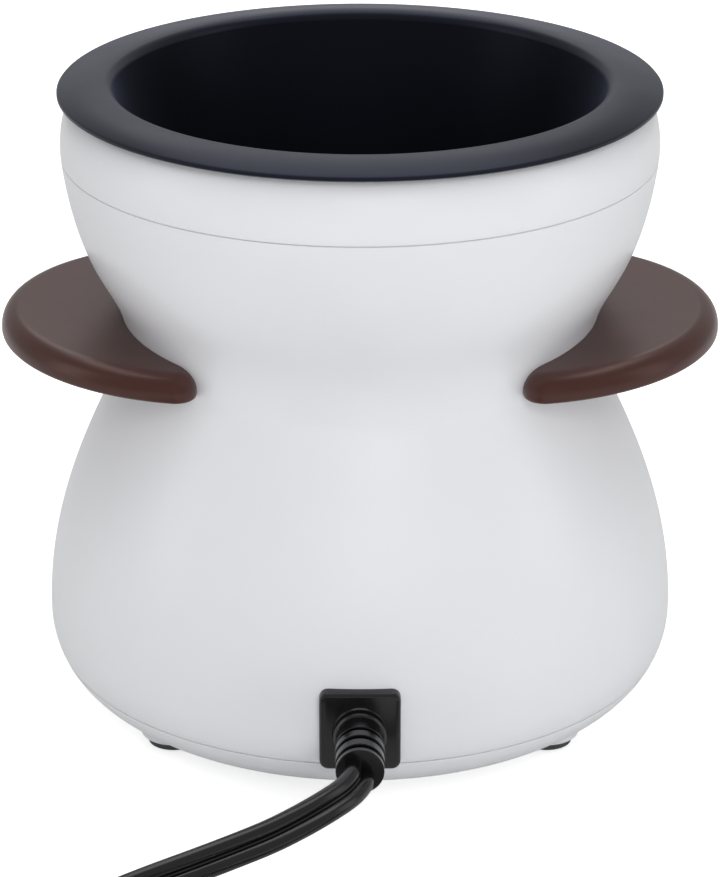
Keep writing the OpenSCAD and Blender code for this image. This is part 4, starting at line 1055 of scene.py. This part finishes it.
@dataclass
class MeltingPot:
    """The coated pot with its rolled lip and drooping rim."""

    rim_r: float = 68.0
    mouth_r: float = 56.4
    metal_t: float = 1.2
    lip_r: float = 2.6
    depth: float = 52.4
    corner_r: float = 12.0
    lean: float = 13.31
    droop: float = 8.5
    seat_gap: float = 0.3
    # Steps of the rim's soft edge, from its lower corner and then from its upper one.
    edge_low: Sequence[Point] = ((-0.35, 0.05), (-0.05, 0.3))
    edge_high: Sequence[Point] = ((-0.05, -0.35), (-0.4, 0.04))

    def lip_centre(self) -> Point:
        """The middle of the rolled lip.

        Returns:
            Its radius and height.
        """
        under = self.lip_r - self.metal_t
        crown, top = OUTLINE.crown_r, OUTLINE.seam_z + OUTLINE.ring_h
        droop = math.radians(self.droop)
        return (self.mouth_r + under, top + self.seat_gap - under / math.cos(droop)
                + (crown - self.mouth_r - under) * math.tan(droop))

    def cup(self, r_top: float, z_top: float, corner: float, floor: float) -> list[Point]:
        """The section of a cup, from the middle of its floor to its mouth.

        Args:
            r_top: Radius of its mouth.
            z_top: Height of its mouth.
            corner: Radius of the round at its floor.
            floor: Height of its floor.

        Returns:
            Radius and height pairs.
        """
        lean = math.radians(self.lean)
        z_arc = floor + corner * (1 - math.sin(lean))
        middle = r_top - (z_top - z_arc) * math.tan(lean) - corner * math.cos(lean)
        return [(0.0, floor)] + arc((middle, floor + corner), corner, -90, -self.lean, 20) + [(r_top, z_top)]

    def rim_end(self, r: float) -> Point:
        """A point of the rim's edge.

        Args:
            r: Its distance above the line that runs out from the lip's middle.

        Returns:
            Its radius and height.
        """
        c = self.lip_centre()
        droop = math.radians(self.droop)
        return (self.rim_r, c[1] + r / math.cos(droop) - (self.rim_r - c[0]) * math.tan(droop))

    def build(self) -> None:
        """Makes the pot."""
        c = self.lip_centre()
        floor = c[1] - self.depth
        under = self.lip_r - self.metal_t
        wall = self.metal_t / math.cos(math.radians(self.lean))
        outer = self.cup(self.mouth_r, c[1], self.corner_r, floor)
        inner = self.cup(self.mouth_r - wall, c[1], self.corner_r - self.metal_t, floor + self.metal_t)
        low, high = self.rim_end(under), self.rim_end(self.lip_r)
        edge = [(low[0] + r, low[1] + z) for r, z in self.edge_low]
        edge += [(high[0] + r, high[1] + z) for r, z in self.edge_high]
        section = outer + arc(c, under, 180, 90 - self.droop, 10)[1:] + edge
        section += arc(c, self.lip_r, 90 - self.droop, 180, 14) + inner[:-1][::-1]
        obj = make_object("coated_pot", turned(section, ROUND_STEPS))
        dress(obj, "pot_coating", "pot", ["melting_pot"], sharp=40)


@dataclass
class StrainRelief:
    """The moulded strain relief: a flange on the housing and a ribbed sleeve round the lead."""

    z: float = 26.0
    face: float = 75.3
    width: float = 17.8
    height: float = 18.7
    corner_r: float = 2.0
    corner_share: float = 0.8
    edge_r: float = 0.9
    flange_sink: float = 4.0
    neck_w: float = 11.6
    neck_h: float = 12.0
    neck_corner_r: float = 1.0
    neck_back: float = 66.1
    neck_sink: float = 3.0
    root_r: float = 5.8
    tip_r: float = 5.2
    sleeve_l: float = 17.7
    sleeve_sink: float = 1.0
    # How far the sleeve's root stands past root_r, and how far along it that is.
    root: Sequence[Point] = ((0.5, -1.0), (0.3, 0.1), (0.0, 0.5), (0.0, 2.3), (-0.25, 2.7))
    # Each rib's start, its end and how far it is turned down; the first one passes into the root.
    ribs: Sequence[Sequence[float]] = (
        (2.9, 7.3, 0.3), (8.9, 11.2, 0.0), (12.5, 15.0, 0.0), (16.3, 17.7, 0.0))
    rib_edge: float = 0.15
    groove_d: float = 1.3
    groove_slope: float = 0.2

    def flange(self) -> Mesh:
        """The square flange, with its front edge rounded.

        Returns:
            Points in millimetres, and faces.
        """
        levels = [(0.0, self.face - self.flange_sink), (0.0, self.face - self.edge_r)]
        for a in (22, 45, 68, 90):
            drawn_in = self.edge_r * (1 - math.cos(math.radians(a)))
            levels.append((drawn_in, self.face - self.edge_r + self.edge_r * math.sin(math.radians(a))))
        loops = []
        for drawn_in, y in levels:
            plan = rounded_rectangle(self.width - 2 * drawn_in, self.height - 2 * drawn_in,
                                     self.corner_r - drawn_in * self.corner_share, 5)
            loops.append([Vector((-x, y, self.z + v)) for x, v in plan])
        return loft(loops)

    def neck(self) -> Mesh:
        """The neck that fills the housing's notch behind the flange.

        Returns:
            Points in millimetres, and faces.
        """
        plan = rounded_rectangle(self.neck_w, self.neck_h, self.neck_corner_r, 2)
        return loft([[Vector((-x, y, self.z + v)) for x, v in plan]
                     for y in (self.neck_back, self.face - self.neck_sink)])

    def sleeve(self) -> Mesh:
        """The tapered sleeve round the lead, with its ribs.

        Returns:
            Points in millimetres, and faces.
        """
        e, slope = self.rib_edge, self.groove_slope
        taper = (self.root_r - self.tip_r) / self.sleeve_l
        profile = [(0.0, -self.sleeve_sink)] + [(self.root_r + r, y) for r, y in self.root]
        for start, end, drop in self.ribs:
            r = self.root_r - drop - taper * (start + end) / 2
            deep = r - self.groove_d
            first = [(r, start)] if drop else [(deep, start - slope), (r - e, start), (r, start + e)]
            profile += first + [(r, end - e), (r - e, end), (deep, end + slope)]
        profile = profile[:-1] + [(0.0, self.sleeve_l)]
        lay = Matrix.Translation((0, self.face, self.z)) @ Matrix.Rotation(math.radians(-90), 4, "X")
        return placed(turned(profile, 64), lay)

    def build(self) -> None:
        """Makes the strain relief."""
        obj = make_object("cord_strain_relief", together([self.flange(), self.neck(), self.sleeve()]))
        dress(obj, "cord_vinyl", "base", ["strain_relief"], sharp=30)


@dataclass
class PlugEnd:
    """The plug's moulding at the end of the lead."""

    centre: Sequence[float] = (-37.0, 128.0, 6.2)
    # Distance along the plug, width, thickness and corner radius, from the boot to the face.
    stations: Sequence[Sequence[float]] = (
        (0.0, 8.4, 4.6, 2.2), (1.0, 9.6, 6.0, 2.8), (5.0, 11.0, 7.0, 3.2), (9.0, 15.5, 9.4, 4.0),
        (13.0, 19.6, 11.4, 4.6), (16.5, 21.6, 12.0, 4.6), (18.0, 21.9, 12.0, 4.2), (18.5, 21.0, 11.2, 4.0),
        (19.5, 21.0, 11.2, 4.0), (20.0, 21.9, 12.0, 4.2), (21.5, 21.9, 12.0, 4.2), (22.0, 21.0, 11.2, 4.0),
        (23.0, 21.0, 11.2, 4.0), (23.5, 21.9, 12.0, 4.2), (27.6, 22.0, 12.0, 3.6), (28.6, 21.4, 11.4, 3.2),
        (29.0, 20.2, 10.2, 2.8))

    def build(self) -> None:
        """Makes the plug's moulding, with two grip grooves and a boot round the lead."""
        loops = []
        x, y, z = self.centre
        for along, width, thickness, corner in self.stations:
            plan = rounded_rectangle(width, thickness, corner, 6)
            loops.append([Vector((x - along, y + u, z + v)) for u, v in plan])
        obj = make_object("plug_moulding", loft(loops))
        dress(obj, "cord_vinyl", "base", ["plug_body"])


@dataclass
class CarriedOver:
    """The CAD nodes. Those that no piece stands for keep their shape and show with their finish."""

    dressed: list[str] = field(default_factory=list)

    def build(self) -> None:
        """Gives every CAD node the finish of its slot."""
        for row in frame["record"]["subparts"]:
            obj = frame["nodes"][row["node"]]
            obj.data.materials.clear()
            obj.data.materials.append(SLOT_FINISH[row["material_slot"]].material())
            self.dressed.append(row["node"])
        LOG.info("%d CAD nodes have their finish", len(self.dressed))


def main() -> None:
    """Builds the camera, the lead, the rest of the studio and then each sub-assembly."""
    bpy.context.scene.view_settings.view_transform = "Standard"
    studio = Studio()
    studio.camera()
    PlugEnd().build()
    CoilBand().build()
    MainsLead().build()
    studio.lights()
    studio.backdrop()
    CarriedOver().build()
    Housing().build()
    EarHandle().build("ear_handle_right", "right_handle", 0.0)
    EarHandle().build("ear_handle_left", "left_handle", 180.0)
    MeltingPot().build()
    StrainRelief().build()


if __name__ == "__main__":
    main()
